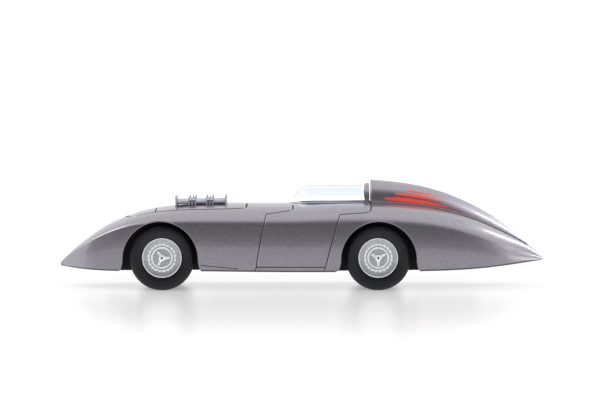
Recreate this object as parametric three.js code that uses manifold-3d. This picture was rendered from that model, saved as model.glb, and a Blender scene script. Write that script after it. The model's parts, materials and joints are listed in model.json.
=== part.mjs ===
// Streamlined record car: a 1:43 display model with a cast body, a clear bubble
// canopy, a long headrest fairing and four wheels that spin on two steel axles.
// Millimetres. +X runs from nose to tail, +Y to the car's right, +Z up.
// The origin is on the ground under the middle of the car.
import * as THREE from 'three';
import { mergeVertices } from 'three/addons/utils/BufferGeometryUtils.js';
import Module from 'manifold-3d';

// ---- driving dimensions ----------------------------------------------------
const NOSE_X = -60.5;
const TAIL_X = 60.5;
const FRONT_AXLE_X = -34.5;
const REAR_AXLE_X = 18.7;
const AXLE_Z = 8;
const TYRE_RADIUS = 8;
const TYRE_WIDTH = 4.4;
const WHEEL_FACE_Y = 16.5;
const RIM_RADIUS = 4.9;
const AXLE_RADIUS = 1;
const BORE_RADIUS = 1.15;
const ARCH_RADIUS = 9.45;
const ARCH_Z = 7.6;
const ARCH_XS = [-34.9, 18.85];
const ARCH_FLARE = 1.2;
const WELL_INNER_Y = 10.9;
const WALL = 1.6;
const GAP = 0.3;
const AXLE_SLOT_HALF_WIDTH = 2.2;

const COCKPIT_FRONT_X = -2.6;
const COCKPIT_REAR_X = 16.9;
const COAMING_OUTER = 7.2;
const COAMING_INNER = 6.2;
const COAMING_NOSE = 6;
const COAMING_TOP_Z = 21.15;
const COAMING_SLOPE = 0.01;
const CANOPY_FRONT_X = -2;
const CANOPY_REAR_X = 15.2;
const CANOPY_HALF_WIDTH = 6.7;
const CANOPY_HEIGHT = 4.1;
const CANOPY_WALL = 0.5;
const TUB_FLOOR = 9.8;
const TUB_TOP = 19.3;
const TUB_HALF_WIDTH = 5.9;
const TUB_WALL = 0.7;
const SEAT_FRONT_X = 5.4;
const SEAT_LENGTH = 5.8;
const SEAT_HALF_WIDTH = 3.6;
const SEAT_THICKNESS = 2;
const SEAT_BACK_X = 12.4;
const SEAT_BACK_LEAN = 0.12;
const DASH_X = 2.2;
const DASH_THICKNESS = 0.8;
const DASH_HALF_WIDTH = 4.2;
const DASH_BASE = 15.4;
const DASH_TOP = 19.4;
const DIAL_RADIUS = 0.9;
const DIAL_SPACING = 2.4;
const DIAL_Z = 17.9;
const STEERING_X = 5.9;
const STEERING_Z = 16;
const STEERING_RAKE = 0.3;
const STEERING_RADIUS = 2.9;
const HOOP_X = 15.5;
const HOOP_DEPTH = 1.2;
const HOOP_HALF_WIDTH = 5.9;
const HOOP_BASE = 21.2;
const HOOP_TOP = 25.9;
const FAIRING_FRONT_X = 16.95;
const FAIRING_REAR_X = 57.8;

const COOLER_X = -25.15;
const COOLER_Z = 21.35;
const COOLER_LENGTH = 12.4;
const COOLER_HALF_WIDTH = 6.5;
const COOLER_TILT = 0.02;
const TUBE_RADIUS = 0.5;
const TUBE_PITCH = 1.75;
const TUBE_COUNT = 7;

const PLATE_BOTTOM = 5.5;
const PLATE_TOP = 6.9;
const PLATE_FRONT_X = -48;
const PLATE_REAR_X = 44;
const MOUNT_BOTTOM = 4.9;
const MOUNT_RADIUS = 3;
const MOUNT_PILOT_RADIUS = 0.9;
const SADDLE_INNER_Y = 5.4;
const SADDLE_WIDTH = 2;
const SADDLE_HALF_LENGTH = 2.4;
const SCREW_HEAD_RADIUS = 1.6;
const SCREW_SHANK_RADIUS = 0.75;
const SCREW_TOP_Z = 12;
const BOSS_RADIUS = 2.2;
const SCREW_XS = { front: -12, rear: 33 };
const MOUNT_XS = { front: -18.5, rear: 39.5 };

// ---- materials -------------------------------------------------------------
const BODY_GREY = [0x8d8a93, 0.35, 0.7];
const SEMI_BLACK = [0x1b1b1e, 0.6, 0];
const RUBBER = [0x1f1f23, 0.7, 0];
const ALLOY = [0xc9cbd0, 0.3, 0.9];
const STEEL = [0xb4b6ba, 0.35, 1];
const COOLER_METAL = [0x9aa0aa, 0.35, 0.9];
const LEATHER = [0x2a2523, 0.7, 0];
const CLEAR = [0xe8f0f4, 0.05, 0];

// ---- splines that shape the body -------------------------------------------
const deckLine = spline([
  [NOSE_X, 6], [-58, 8.5], [-54, 11.85], [-49, 15.3], [-45, 17.15], [-40, 18.85],
  [-34, 20], [-26, 20.68], [-14, 20.87], [-3, 20.9], [5, 21.2], [12, 21.35], [26, 20.9],
  [40, 18.1], [52, 12.9], [56.5, 10.35], [TAIL_X, 7.35],
]);
const shoulderLine = spline([
  [NOSE_X, 5.85], [-57, 8.85], [-54, 10.9], [-49, 13.5], [-43, 15.5], [-34, 16.1],
  [-18, 15.7], [8, 15.6], [26, 15.3], [37, 13.95], [45, 11.55], [53, 8.35], [TAIL_X, 7.05],
]);
const keelLine = spline([
  [NOSE_X, 5.35], [-54, 4.87], [-45, 4.68], [-25, 4.75], [-12, 4.6], [5, 4.53], [28, 4.72],
  [44, 5.18], [54, 6.09], [TAIL_X, 6.8],
]);
const planLine = spline([
  [NOSE_X, 2.4], [-55, 9.4], [-46, 15.4], [-34, 17.8], [-8, 18], [20, 17.8], [34, 16.4],
  [46, 11.9], [56, 5.6], [TAIL_X, 1.8],
]);
const fairingLine = spline([
  [17, 26.8], [27, 25.68], [38, 22.58], [48, 17.4], [54, 13.32], [58, 10.05],
]);
const fairingWidth = spline([[17, 6.5], [28, 6], [42, 4.2], [52, 2.3], [59, 0.8]]);
const fairingRoundness = spline([[17, 2.1], [30, 1.95], [40, 1.55], [50, 1.4], [58, 1.4]]);

// Natural cubic spline through [x, value] points, returned as a function of x.
function spline(points) {
  const last = points.length - 1;
  const bend = new Array(last + 1).fill(0);
  const carry = new Array(last + 1).fill(0);
  const span = (i) => points[i + 1][0] - points[i][0];
  const slope = (i) => (points[i + 1][1] - points[i][1]) / span(i);
  for (let i = 1; i < last; i += 1) {
    const pivot = 2 * (span(i - 1) + span(i)) - span(i - 1) * carry[i - 1];
    carry[i] = span(i) / pivot;
    bend[i] = (6 * (slope(i) - slope(i - 1)) - span(i - 1) * bend[i - 1]) / pivot;
  }
  for (let i = last - 1; i > 0; i -= 1) {
    bend[i] -= carry[i] * bend[i + 1];
  }
  return (x) => {
    let i = 0;
    while (i < last - 1 && x > points[i + 1][0]) {
      i += 1;
    }
    const h = span(i);
    const a = (points[i + 1][0] - x) / h;
    const b = 1 - a;
    const curve = ((a ** 3 - a) * bend[i] + (b ** 3 - b) * bend[i + 1]) * h * h / 6;
    return a * points[i][1] + b * points[i + 1][1] + curve;
  };
}

// ---- geometry helpers ------------------------------------------------------
const wasm = await Module();
wasm.setup();

function signedVolume(geometry) {
  const at = geometry.attributes.position;
  const index = geometry.index;
  const [a, b, c] = [new THREE.Vector3(), new THREE.Vector3(), new THREE.Vector3()];
  let sum = 0;
  for (let i = 0; i < index.count; i += 3) {
    a.fromBufferAttribute(at, index.getX(i));
    b.fromBufferAttribute(at, index.getX(i + 1));
    c.fromBufferAttribute(at, index.getX(i + 2));
    sum += a.dot(b.cross(c)) / 6;
  }
  return sum;
}

// Closed copy of a geometry with shared vertices and its faces pointing out.
function welded(geometry) {
  const bare = geometry.clone();
  bare.deleteAttribute('normal');
  bare.deleteAttribute('uv');
  const merged = mergeVertices(bare, 1e-4);
  const corners = [];
  const source = merged.index.array;
  for (let i = 0; i < source.length; i += 3) {
    const [a, b, c] = [source[i], source[i + 1], source[i + 2]];
    if (a !== b && b !== c && c !== a) {
      corners.push(a, b, c);
    }
  }
  merged.setIndex(corners);
  if (signedVolume(merged) < 0) {
    merged.setIndex(corners.reverse());
  }
  return merged;
}

function solidOf(geometry) {
  const closed = welded(geometry);
  return new wasm.Manifold(new wasm.Mesh({
    numProp: 3,
    vertProperties: new Float32Array(closed.attributes.position.array),
    triVerts: new Uint32Array(closed.index.array),
  }));
}

function geometryOf(solid) {
  const mesh = solid.getMesh();
  const geometry = new THREE.BufferGeometry();
  geometry.setAttribute('position', new THREE.BufferAttribute(mesh.vertProperties, 3));
  geometry.setIndex(new THREE.BufferAttribute(mesh.triVerts, 1));
  geometry.computeVertexNormals();
  return geometry;
}

function joined(...geometries) {
  return geometryOf(geometries.map(solidOf).reduce((sum, next) => sum.add(next)));
}

function cut(geometry, ...tools) {
  return geometryOf(tools.map(solidOf).reduce((left, tool) => left.subtract(tool), solidOf(geometry)));
}

function box(x0, x1, y0, y1, z0, z1) {
  const geometry = new THREE.BoxGeometry(x1 - x0, y1 - y0, z1 - z0);
  return geometry.translate((x0 + x1) / 2, (y0 + y1) / 2, (z0 + z1) / 2);
}

function cylinderX(radius, x0, x1, y, z, sides = 12) {
  const geometry = new THREE.CylinderGeometry(radius, radius, x1 - x0, sides);
  return geometry.rotateZ(Math.PI / 2).translate((x0 + x1) / 2, y, z);
}

function cylinderY(radius, y0, y1, x, z, sides = 16) {
  const geometry = new THREE.CylinderGeometry(radius, radius, y1 - y0, sides);
  return geometry.translate(x, (y0 + y1) / 2, z);
}

function cylinderZ(radius, z0, z1, x, y, sides = 16) {
  const geometry = new THREE.CylinderGeometry(radius, radius, z1 - z0, sides);
  return geometry.rotateX(Math.PI / 2).translate(x, y, (z0 + z1) / 2);
}

function lathe(points, sides) {
  const profile = points.map(([r, y]) => new THREE.Vector2(r, y));
  return welded(new THREE.LatheGeometry(profile, sides, Math.PI / sides));
}

// A flat outline in the XY plane, extruded upwards between two heights.
function slab(outline, z0, z1) {
  const shape = new THREE.Shape(outline.map(([x, y]) => new THREE.Vector2(x, y)));
  const geometry = new THREE.ExtrudeGeometry(shape, { depth: z1 - z0, bevelEnabled: false });
  return geometry.translate(0, 0, z0);
}

// A flat outline in the YZ plane, extruded along X.
function panelX(outline, x0, x1) {
  const shape = new THREE.Shape(outline.map(([y, z]) => new THREE.Vector2(y, z)));
  const geometry = new THREE.ExtrudeGeometry(shape, { depth: x1 - x0, bevelEnabled: false });
  return geometry.rotateX(Math.PI / 2).rotateZ(Math.PI / 2).translate(x0, 0, 0);
}

// A flat outline in the XZ plane, extruded along Y.
function panelY(outline, y0, y1) {
  const shape = new THREE.Shape(outline.map(([x, z]) => new THREE.Vector2(x, z)));
  const geometry = new THREE.ExtrudeGeometry(shape, { depth: y1 - y0, bevelEnabled: false });
  return geometry.rotateX(Math.PI / 2).translate(0, y1, 0);
}

// A closed skin over rings of the same count, in +X order, each ring running
// from the bottom round by +Y to the top; fans close the two ends.
function loft(rings) {
  const count = rings[0].length;
  const points = rings.flat();
  const index = [];
  for (let r = 0; r + 1 < rings.length; r += 1) {
    for (let i = 0; i < count; i += 1) {
      const a = r * count + i;
      const b = r * count + ((i + 1) % count);
      index.push(a, b, a + count, b, b + count, a + count);
    }
  }
  for (const [first, turn] of [[0, -1], [points.length - count, 1]]) {
    const ring = points.slice(first, first + count);
    const centre = ring.reduce((sum, p) => sum.add(p), new THREE.Vector3());
    points.push(centre.divideScalar(count));
    for (let i = 0; i < count; i += 1) {
      const a = first + i;
      const b = first + ((i + 1) % count);
      index.push(points.length - 1, turn > 0 ? a : b, turn > 0 ? b : a);
    }
  }
  const geometry = new THREE.BufferGeometry().setFromPoints(points);
  geometry.setIndex(index);
  return geometry;
}

// Places from one end to the other, closer together towards both ends.
function stations(from, to, steps, easing = 0.6) {
  return Array.from({ length: steps + 1 }, (_, i) => {
    const t = i / steps;
    const eased = (1 - Math.cos(Math.PI * t)) / 2;
    return from + (to - from) * (t + (eased - t) * easing);
  });
}

// Mirrors a half section, listed from bottom centre to top centre, into a ring.
function ringAt(x, half) {
  const other = half.slice(1, -1).reverse().map(([y, z]) => [-y, z]);
  return [...half, ...other].map(([y, z]) => new THREE.Vector3(x, y, z));
}

// ---- body ------------------------------------------------------------------
const SIDE_BARREL = 0.035;
const CROWN_STEPS = 7;
const CROWN_FLATNESS = 3;
const SHOULDER_POWER = 1.7;

// Half width and height of the crowned deck at a share (0 to 1) of the crown's height.
function crownPoint(width, middle, deck, share) {
  const y = width * Math.max(1 - share ** SHOULDER_POWER, 0) ** (1 / CROWN_FLATNESS);
  return [y, middle + (deck - middle) * share];
}

// Half section of the outer skin: flat belly, barrelled side, firm shoulder, crowned
// deck. The side runs on into the crown at the height where their slopes are equal.
function bodyHalf(x) {
  const width = planLine(x);
  const deck = deckLine(x);
  const keel = keelLine(x);
  const middle = Math.min(Math.max(shoulderLine(x), keel + 0.15), deck - 0.2);
  const belt = (keel + middle) / 2;
  const side = (z) => width * (1 - SIDE_BARREL * ((z - belt) / (belt - keel)) ** 2);
  const slope = 2 * SIDE_BARREL * width / (belt - keel);
  const steepness = slope * CROWN_FLATNESS * (deck - middle) / (SHOULDER_POWER * width);
  const share = Math.min(steepness ** (1 / (SHOULDER_POWER - 1)), 0.3);
  const join = middle + (deck - middle) * share;
  const crownWidth = side(join) / (1 - share ** SHOULDER_POWER) ** (1 / CROWN_FLATNESS);
  const half = [[0, keel]];
  for (const rise of [0, 0.25, 0.5, 0.75]) {
    const z = keel + (join - keel) * rise;
    half.push([side(z), z]);
  }
  for (let i = 0; i <= CROWN_STEPS; i += 1) {
    const angle = (i / CROWN_STEPS) * Math.PI / 2;
    const [y, z] = crownPoint(crownWidth, middle, deck, share + (1 - share) * Math.sin(angle) ** 1.2);
    half.push([i === CROWN_STEPS ? 0 : y, z]);
  }
  return half;
}

function bodySkin() {
  return loft(stations(NOSE_X, TAIL_X, 32).map((x) => ringAt(x, bodyHalf(x))));
}

// Room inside the casting, open underneath.
function bodyCavity() {
  const rings = stations(PLATE_FRONT_X - 0.3, PLATE_REAR_X + 0.3, 12, 0.3).map((x) => {
    const side = cavityHalfWidth(x);
    const top = deckLine(x) - WALL;
    const middle = Math.min(shoulderLine(x) - 0.8, top - 0.5);
    const half = [[0, 2], [side, 2]];
    for (let i = 0; i <= 4; i += 1) {
      const angle = (i / 4) * Math.PI / 2;
      const y = i === 4 ? 0 : side * Math.cos(angle);
      half.push([y, middle + (top - middle) * Math.sin(angle)]);
    }
    return ringAt(x, half);
  });
  return loft(rings);
}

function cavityHalfWidth(x) {
  return planLine(x) * (1 - SIDE_BARREL) - WALL;
}

// Side outline of a wheel arch: a half circle whose two feet flare at the sill.
function archSide(centreX, radius) {
  const foot = (side) => [
    [centreX + side * (radius + ARCH_FLARE), 0],
    [centreX + side * (radius + ARCH_FLARE), 4.7],
    [centreX + side * (radius + 0.35 * ARCH_FLARE), 5.2],
    [centreX + side * (radius + 0.05 * ARCH_FLARE), 6.2],
  ];
  const steps = 24;
  const bow = Array.from({ length: steps + 1 }, (_, i) => {
    const angle = (i / steps) * Math.PI;
    return [centreX + radius * Math.cos(angle), ARCH_Z + radius * Math.sin(angle)];
  });
  return [...foot(1), ...bow, ...foot(-1).reverse()];
}

function wheelTools(radius, innerY) {
  return ARCH_XS.flatMap((x) => [
    panelY(archSide(x, radius), innerY, 25),
    panelY(archSide(x, radius), -25, -innerY),
  ]);
}

function axleSlots() {
  const half = AXLE_SLOT_HALF_WIDTH;
  return [FRONT_AXLE_X, REAR_AXLE_X].map((x) => box(x - half, x + half, -15, 15, 2, AXLE_Z + 1.6));
}

// Outline of the cockpit: rounded front, straight sides, square rear end.
function cockpitOutline(halfWidth, frontX, rearX, noseLength) {
  const outline = [[rearX, -halfWidth], [rearX, halfWidth]];
  for (let i = 0; i <= 12; i += 1) {
    const angle = (i / 12) * Math.PI;
    outline.push([
      frontX + noseLength * (1 - Math.sin(angle)),
      halfWidth * Math.cos(angle),
    ]);
  }
  return outline;
}

function bodyShell() {
  const opening = slab(
    cockpitOutline(COAMING_OUTER + GAP, COCKPIT_FRONT_X - GAP, COCKPIT_REAR_X, COAMING_NOSE),
    7, 30,
  );
  const room = cut(bodyCavity(), ...wheelTools(ARCH_RADIUS + WALL, WELL_INNER_Y - WALL));
  const hollow = cut(bodySkin(), room, opening, ...wheelTools(ARCH_RADIUS, WELL_INNER_Y));
  const slotted = cut(hollow, ...axleSlots());
  const screws = Object.values(SCREW_XS);
  const bosses = screws.map((x) => cylinderZ(BOSS_RADIUS, PLATE_TOP + GAP, deckLine(x) - 0.8, x, 0));
  const pilots = screws.map((x) => cylinderZ(SCREW_SHANK_RADIUS + GAP, 0, SCREW_TOP_Z + 0.4, x, 0));
  return cut(joined(slotted, ...bosses), ...pilots);
}

// The deck raised by the assembly gap: whatever sits on the car is cut to it.
function raisedDeck() {
  return bodySkin().translate(0, 0, GAP);
}

function fairingHalf(x) {
  const width = fairingWidth(x);
  const top = fairingLine(x);
  const base = deckLine(x) - 1;
  const spring = deckLine(x);
  const power = 2 / fairingRoundness(x);
  const half = [[0, base], [width, base]];
  for (let i = 0; i <= 7; i += 1) {
    const angle = (i / 7) * Math.PI / 2;
    const y = i === 7 ? 0 : width * Math.cos(angle) ** power;
    half.push([y, spring + (top - spring) * Math.sin(angle) ** power]);
  }
  return half;
}

function headrestFairing() {
  const rings = stations(FAIRING_FRONT_X, FAIRING_REAR_X, 14, 0).map((x) => ringAt(x, fairingHalf(x)));
  return cut(loft(rings), raisedDeck());
}

// ---- cockpit ---------------------------------------------------------------
function coamingTop(x) {
  return COAMING_TOP_Z + COAMING_SLOPE * x;
}

// A U-shaped rim round the opening, its top face rising gently to the rear.
function cockpitCoaming() {
  const outside = cockpitOutline(COAMING_OUTER, COCKPIT_FRONT_X, COCKPIT_REAR_X - GAP, COAMING_NOSE);
  const inside = cockpitOutline(COAMING_INNER, COCKPIT_FRONT_X + 1, 30, COAMING_NOSE);
  const outer = slab(outside, 19.6, 24);
  const inner = slab(inside, 15, 30);
  const lid = box(-30, 30, -20, 20, 0, 6);
  lid.rotateY(-Math.atan(COAMING_SLOPE)).translate(0, 0, coamingTop(0));
  return cut(outer, inner, lid);
}

function canopyRing(x, inset, floorDrop) {
  const back = CANOPY_REAR_X - CANOPY_FRONT_X;
  const along = Math.min((x - CANOPY_FRONT_X - inset) / back, 1);
  const rise = (length, power) => {
    const u = Math.max(1 - (along * back) / length, 0);
    return Math.max(1 - u ** power, 0) ** (1 / power);
  };
  const width = Math.max((CANOPY_HALF_WIDTH - inset) * rise(8, 2), 0.05);
  const height = Math.max((CANOPY_HEIGHT - inset) * rise(5, 2.5), 0.05);
  const floor = coamingTop(x) + 0.2;
  const half = [[0, floor - floorDrop], [width, floor - floorDrop]];
  for (let i = 0; i <= 7; i += 1) {
    const angle = (i / 7) * Math.PI / 2;
    const y = i === 7 ? 0 : width * Math.cos(angle) ** (2 / 2.3);
    half.push([y, floor + 0.05 + height * Math.sin(angle) ** (2 / 2.3)]);
  }
  return ringAt(x, half);
}

function canopy() {
  const spread = (from, to) => Array.from({ length: 11 }, (_, i) => from + (to - from) * (i / 10) ** 1.7);
  const outside = spread(CANOPY_FRONT_X + 0.02, CANOPY_REAR_X);
  const inside = spread(CANOPY_FRONT_X + CANOPY_WALL + 0.02, CANOPY_REAR_X + 2);
  return cut(
    loft(outside.map((x) => canopyRing(x, 0, 0))),
    loft(inside.map((x) => canopyRing(x, CANOPY_WALL, 1))),
  );
}

// Half-round arch outline in the YZ plane, standing on a flat base.
function archOutline(halfWidth, base, top, steps = 14) {
  return Array.from({ length: steps + 1 }, (_, i) => {
    const angle = (i / steps) * Math.PI;
    return [halfWidth * Math.cos(angle), base + (top - base) * Math.sin(angle) ** 0.9];
  });
}

function headrestHoop() {
  const outline = archOutline(HOOP_HALF_WIDTH, HOOP_BASE, HOOP_TOP);
  const opening = archOutline(HOOP_HALF_WIDTH - 1, HOOP_BASE + 0.8, HOOP_TOP - 0.8);
  const outer = panelX(outline, HOOP_X, HOOP_X + HOOP_DEPTH);
  const inner = panelX(opening, HOOP_X - 1, HOOP_X + HOOP_DEPTH + 1);
  return cut(outer, inner);
}

function headrestPad() {
  const outline = archOutline(HOOP_HALF_WIDTH - 1.3, HOOP_BASE + 1.1, HOOP_TOP - 1.1);
  return panelX(outline, HOOP_X - 0.1, HOOP_X + HOOP_DEPTH - 0.2);
}

function cockpitTub() {
  const front = COCKPIT_FRONT_X + 1.4;
  const rear = HOOP_X - 0.4;
  const outside = cockpitOutline(TUB_HALF_WIDTH, front, rear, 5.5);
  const inside = cockpitOutline(TUB_HALF_WIDTH - TUB_WALL, front + TUB_WALL, rear - TUB_WALL, 5.2);
  return cut(slab(outside, TUB_FLOOR - 0.9, TUB_TOP), slab(inside, TUB_FLOOR, 25));
}

function seatCushion() {
  const bottom = TUB_FLOOR + GAP;
  return box(
    SEAT_FRONT_X, SEAT_FRONT_X + SEAT_LENGTH, -SEAT_HALF_WIDTH, SEAT_HALF_WIDTH,
    bottom, bottom + SEAT_THICKNESS,
  );
}

function seatBack() {
  const back = box(-0.8, 0.8, -SEAT_HALF_WIDTH, SEAT_HALF_WIDTH, 0, 7);
  return back.rotateY(SEAT_BACK_LEAN).translate(SEAT_BACK_X, 0, TUB_FLOOR + 0.7);
}

function dashboard() {
  const outline = archOutline(DASH_HALF_WIDTH, DASH_BASE, DASH_TOP, 10);
  return panelX(outline, DASH_X, DASH_X + DASH_THICKNESS);
}

function dashDial() {
  const back = DASH_X + DASH_THICKNESS + GAP;
  return cylinderX(DIAL_RADIUS, back, back + 0.3, 0, 0, 14);
}

function steeringWheel() {
  const rim = new THREE.TorusGeometry(STEERING_RADIUS, 0.28, 6, 20).rotateY(Math.PI / 2);
  const hub = cylinderX(0.7, -0.25, 0.25, 0, 0, 10);
  const spokes = [0, 1, 2].map((k) => {
    const spoke = box(-0.12, 0.12, -0.25, 0.25, 0.3, STEERING_RADIUS - 0.05);
    return spoke.rotateX((k * 2 * Math.PI) / 3);
  });
  return joined(rim, hub, ...spokes);
}

function steeringColumn() {
  return cylinderX(0.4, -2.3, -0.55, 0, 0, 10);
}

function gearLever() {
  const stick = cylinderZ(0.25, 0, 3.1, 0, 0, 8);
  const knob = new THREE.SphereGeometry(0.6, 10, 7).translate(0, 0, 3.4);
  return joined(stick, knob);
}

// ---- cooler on the bonnet --------------------------------------------------
// Pieces are made round the cooler's own centre and cut to the deck in place.
function atCooler(geometry) {
  return geometry.rotateY(-COOLER_TILT).translate(COOLER_X, 0, COOLER_Z);
}

function coolerTubes() {
  const reach = COOLER_LENGTH / 2 - 0.5;
  const tubes = Array.from({ length: TUBE_COUNT }, (_, i) => {
    const y = (i - (TUBE_COUNT - 1) / 2) * TUBE_PITCH;
    return cylinderX(TUBE_RADIUS, -reach, reach, y, 0, 8);
  });
  const span = ((TUBE_COUNT - 1) / 2) * TUBE_PITCH;
  const fins = [-3.4, 0, 3.4].map((x) => box(x - 0.2, x + 0.2, -span, span, -0.25, 0.25));
  return atCooler(joined(...tubes, ...fins));
}

function coolerHeader(side) {
  const x = side * (COOLER_LENGTH / 2);
  const plate = box(x - 0.2, x + 0.2, -COOLER_HALF_WIDTH, COOLER_HALF_WIDTH, -3, 1.55);
  return cut(atCooler(plate), raisedDeck());
}

// A strap over the tubes with three studs at each end: tall, short and tall.
function coolerClamp(centre) {
  const strap = box(centre - 1, centre + 1, -COOLER_HALF_WIDTH, COOLER_HALF_WIDTH, 0.8, 1.05);
  const studs = [-1, 1].flatMap((side) => [[-0.75, 1.55], [0, 1.3], [0.75, 1.55]].map(
    ([x, top]) => cylinderZ(0.24, -3, top, centre + x, side * (COOLER_HALF_WIDTH - 0.3), 8),
  ));
  return cut(atCooler(joined(strap, ...studs)), raisedDeck());
}

// ---- base plate and running gear -------------------------------------------
function plateOutline() {
  const right = [];
  const narrow = WELL_INNER_Y - WALL - GAP;
  const reach = ARCH_RADIUS + WALL + ARCH_FLARE + GAP;
  const corners = new Set([PLATE_FRONT_X, PLATE_REAR_X, -4, 36, 40]);
  for (const arch of ARCH_XS) {
    corners.add(arch - reach - 0.01);
    corners.add(arch - reach);
    corners.add(arch + reach);
    corners.add(arch + reach + 0.01);
  }
  for (const x of [...corners].sort((a, b) => a - b)) {
    if (x < PLATE_FRONT_X || x > PLATE_REAR_X) {
      continue;
    }
    const inArch = ARCH_XS.some((arch) => Math.abs(x - arch) <= reach + 1e-6);
    right.push([x, inArch ? narrow : cavityHalfWidth(x) - GAP]);
  }
  const left = right.map(([x, y]) => [x, -y]);
  return [...left, ...right.reverse()];
}

const SADDLE_YS = [-SADDLE_INNER_Y - SADDLE_WIDTH, SADDLE_INNER_Y];

function saddles() {
  return [FRONT_AXLE_X, REAR_AXLE_X].flatMap((x) => SADDLE_YS.map(
    (y) => box(
      x - SADDLE_HALF_LENGTH, x + SADDLE_HALF_LENGTH, y, y + SADDLE_WIDTH,
      PLATE_TOP - 0.5, AXLE_Z + 1.6,
    ),
  ));
}

function axleNotches() {
  const half = AXLE_RADIUS + GAP;
  return [FRONT_AXLE_X, REAR_AXLE_X].map((x) => box(x - half, x + half, -8, 8, AXLE_Z - half, 12));
}

function basePlate() {
  const plate = slab(plateOutline(), PLATE_BOTTOM, PLATE_TOP);
  const mounts = Object.values(MOUNT_XS);
  const seats = mounts.map((x) => cylinderZ(MOUNT_RADIUS, MOUNT_BOTTOM, PLATE_TOP, x, 0, 24));
  const body = joined(plate, ...seats, ...saddles());
  const holes = Object.values(SCREW_XS).flatMap((x) => [
    cylinderZ(1.1, 4, 8, x, 0),
    cylinderZ(SCREW_HEAD_RADIUS + 0.35, 4, PLATE_BOTTOM + 0.6, x, 0),
  ]);
  const threads = mounts.map((x) => cylinderZ(MOUNT_PILOT_RADIUS, 4, 8, x, 0, 12));
  return cut(body, ...holes, ...threads, ...axleNotches());
}

// A cap across both saddles, with a tongue down each slot over the axle.
function axleClip(x) {
  const reach = SADDLE_INNER_Y + SADDLE_WIDTH;
  const bar = box(x - 1.9, x + 1.9, -reach, reach, AXLE_Z + 1.9, AXLE_Z + 2.6);
  const tongues = SADDLE_YS.map(
    (y) => box(x - 1, x + 1, y + 0.2, y + SADDLE_WIDTH - 0.2, AXLE_Z + 1.3, AXLE_Z + 2.2),
  );
  return joined(bar, ...tongues);
}

function bodyScrew(x) {
  const head = cylinderZ(SCREW_HEAD_RADIUS, PLATE_BOTTOM - 0.1, PLATE_BOTTOM + 0.35, x, 0, 16);
  const shank = cylinderZ(SCREW_SHANK_RADIUS, PLATE_BOTTOM + 0.2, SCREW_TOP_Z, x, 0, 12);
  const slot = box(x - 0.25, x + 0.25, -2, 2, PLATE_BOTTOM - 1, PLATE_BOTTOM + 0.1);
  return cut(joined(head, shank), slot);
}

// Wheel pieces turn about Y and have their outer face at y = 0.
const WHEEL_SIDES = 32;

function tyre() {
  const tread = TYRE_RADIUS / Math.cos(Math.PI / WHEEL_SIDES);
  const bead = RIM_RADIUS + 0.15;
  return lathe([
    [bead, -TYRE_WIDTH + 0.25], [7.1, -TYRE_WIDTH], [tread, -TYRE_WIDTH + 0.9], [tread, -0.9],
    [7.1, 0], [bead, -0.25], [bead, -TYRE_WIDTH + 0.25],
  ], WHEEL_SIDES);
}

function rim() {
  return lathe([
    [0, -1.9], [BORE_RADIUS, -1.9], [BORE_RADIUS, -4.2], [RIM_RADIUS, -4.2], [RIM_RADIUS, -0.1],
    [4.55, -0.1], [3.8, -0.95], [3.8, -1.4], [0, -1.4],
  ], 24);
}

// A plate with a scalloped edge and a raised ring round the hub recess.
function wheelDisc() {
  const lobes = 18;
  const edge = Array.from({ length: lobes * 2 }, (_, i) => {
    const angle = (i * Math.PI) / lobes;
    const radius = i % 2 ? 3.3 : 3.6;
    return [radius * Math.cos(angle), radius * Math.sin(angle)];
  });
  const plate = slab(edge, -1.1, -0.75).rotateX(Math.PI / 2).rotateX(Math.PI);
  const ring = lathe([[2.2, -0.9], [2.75, -0.9], [2.6, -0.4], [2.3, -0.4], [2.2, -0.9]], 18);
  return joined(plate, ring);
}

// Three-eared knock-off nut.
function spinner() {
  const outline = [0, 1, 2].flatMap((k) => {
    const ear = Math.PI / 2 + (k * 2 * Math.PI) / 3;
    return [[-0.75, 0.95], [-0.13, 2.05], [0.13, 2.05], [0.75, 0.95]].map(
      ([turn, r]) => [r * Math.cos(ear + turn), r * Math.sin(ear + turn)],
    );
  });
  return slab(outline, 0, 0.5).rotateX(Math.PI / 2).rotateX(Math.PI).translate(0, -0.45, 0);
}

function axle() {
  const half = WHEEL_FACE_Y - 2.2;
  return cylinderY(AXLE_RADIUS, -half, half, 0, 0, 16);
}

// ---- assembly --------------------------------------------------------------
const car = new THREE.Group();

function add(parent, name, geometry, [color, roughness, metalness]) {
  const material = new THREE.MeshStandardMaterial({ color, roughness, metalness });
  const mesh = new THREE.Mesh(geometry, material);
  mesh.name = name;
  parent.add(mesh);
  return mesh;
}

function addWheel(parent, name, side, spinnerTurn) {
  const wheel = new THREE.Group();
  wheel.position.y = side * WHEEL_FACE_Y;
  wheel.rotation.z = side > 0 ? 0 : Math.PI;
  parent.add(wheel);
  add(wheel, `${name}_tyre`, tyre(), RUBBER);
  add(wheel, `${name}_rim`, rim(), ALLOY);
  add(wheel, `${name}_wheel_disc`, wheelDisc(), ALLOY);
  add(wheel, `${name}_spinner`, spinner(), ALLOY).rotation.y = THREE.MathUtils.degToRad(spinnerTurn);
}

function addRunningGear() {
  for (const [end, x, leftTurn, rightTurn] of [
    ['front', FRONT_AXLE_X, 33, 10],
    ['rear', REAR_AXLE_X, 60, 45],
  ]) {
    const carrier = new THREE.Group();
    carrier.position.set(x, 0, AXLE_Z);
    car.add(carrier);
    add(carrier, `${end}_axle`, axle(), STEEL);
    addWheel(carrier, `${end}_left`, -1, leftTurn);
    addWheel(carrier, `${end}_right`, 1, rightTurn);
    add(car, `${end}_axle_clip`, axleClip(x), SEMI_BLACK);
  }
}

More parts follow.
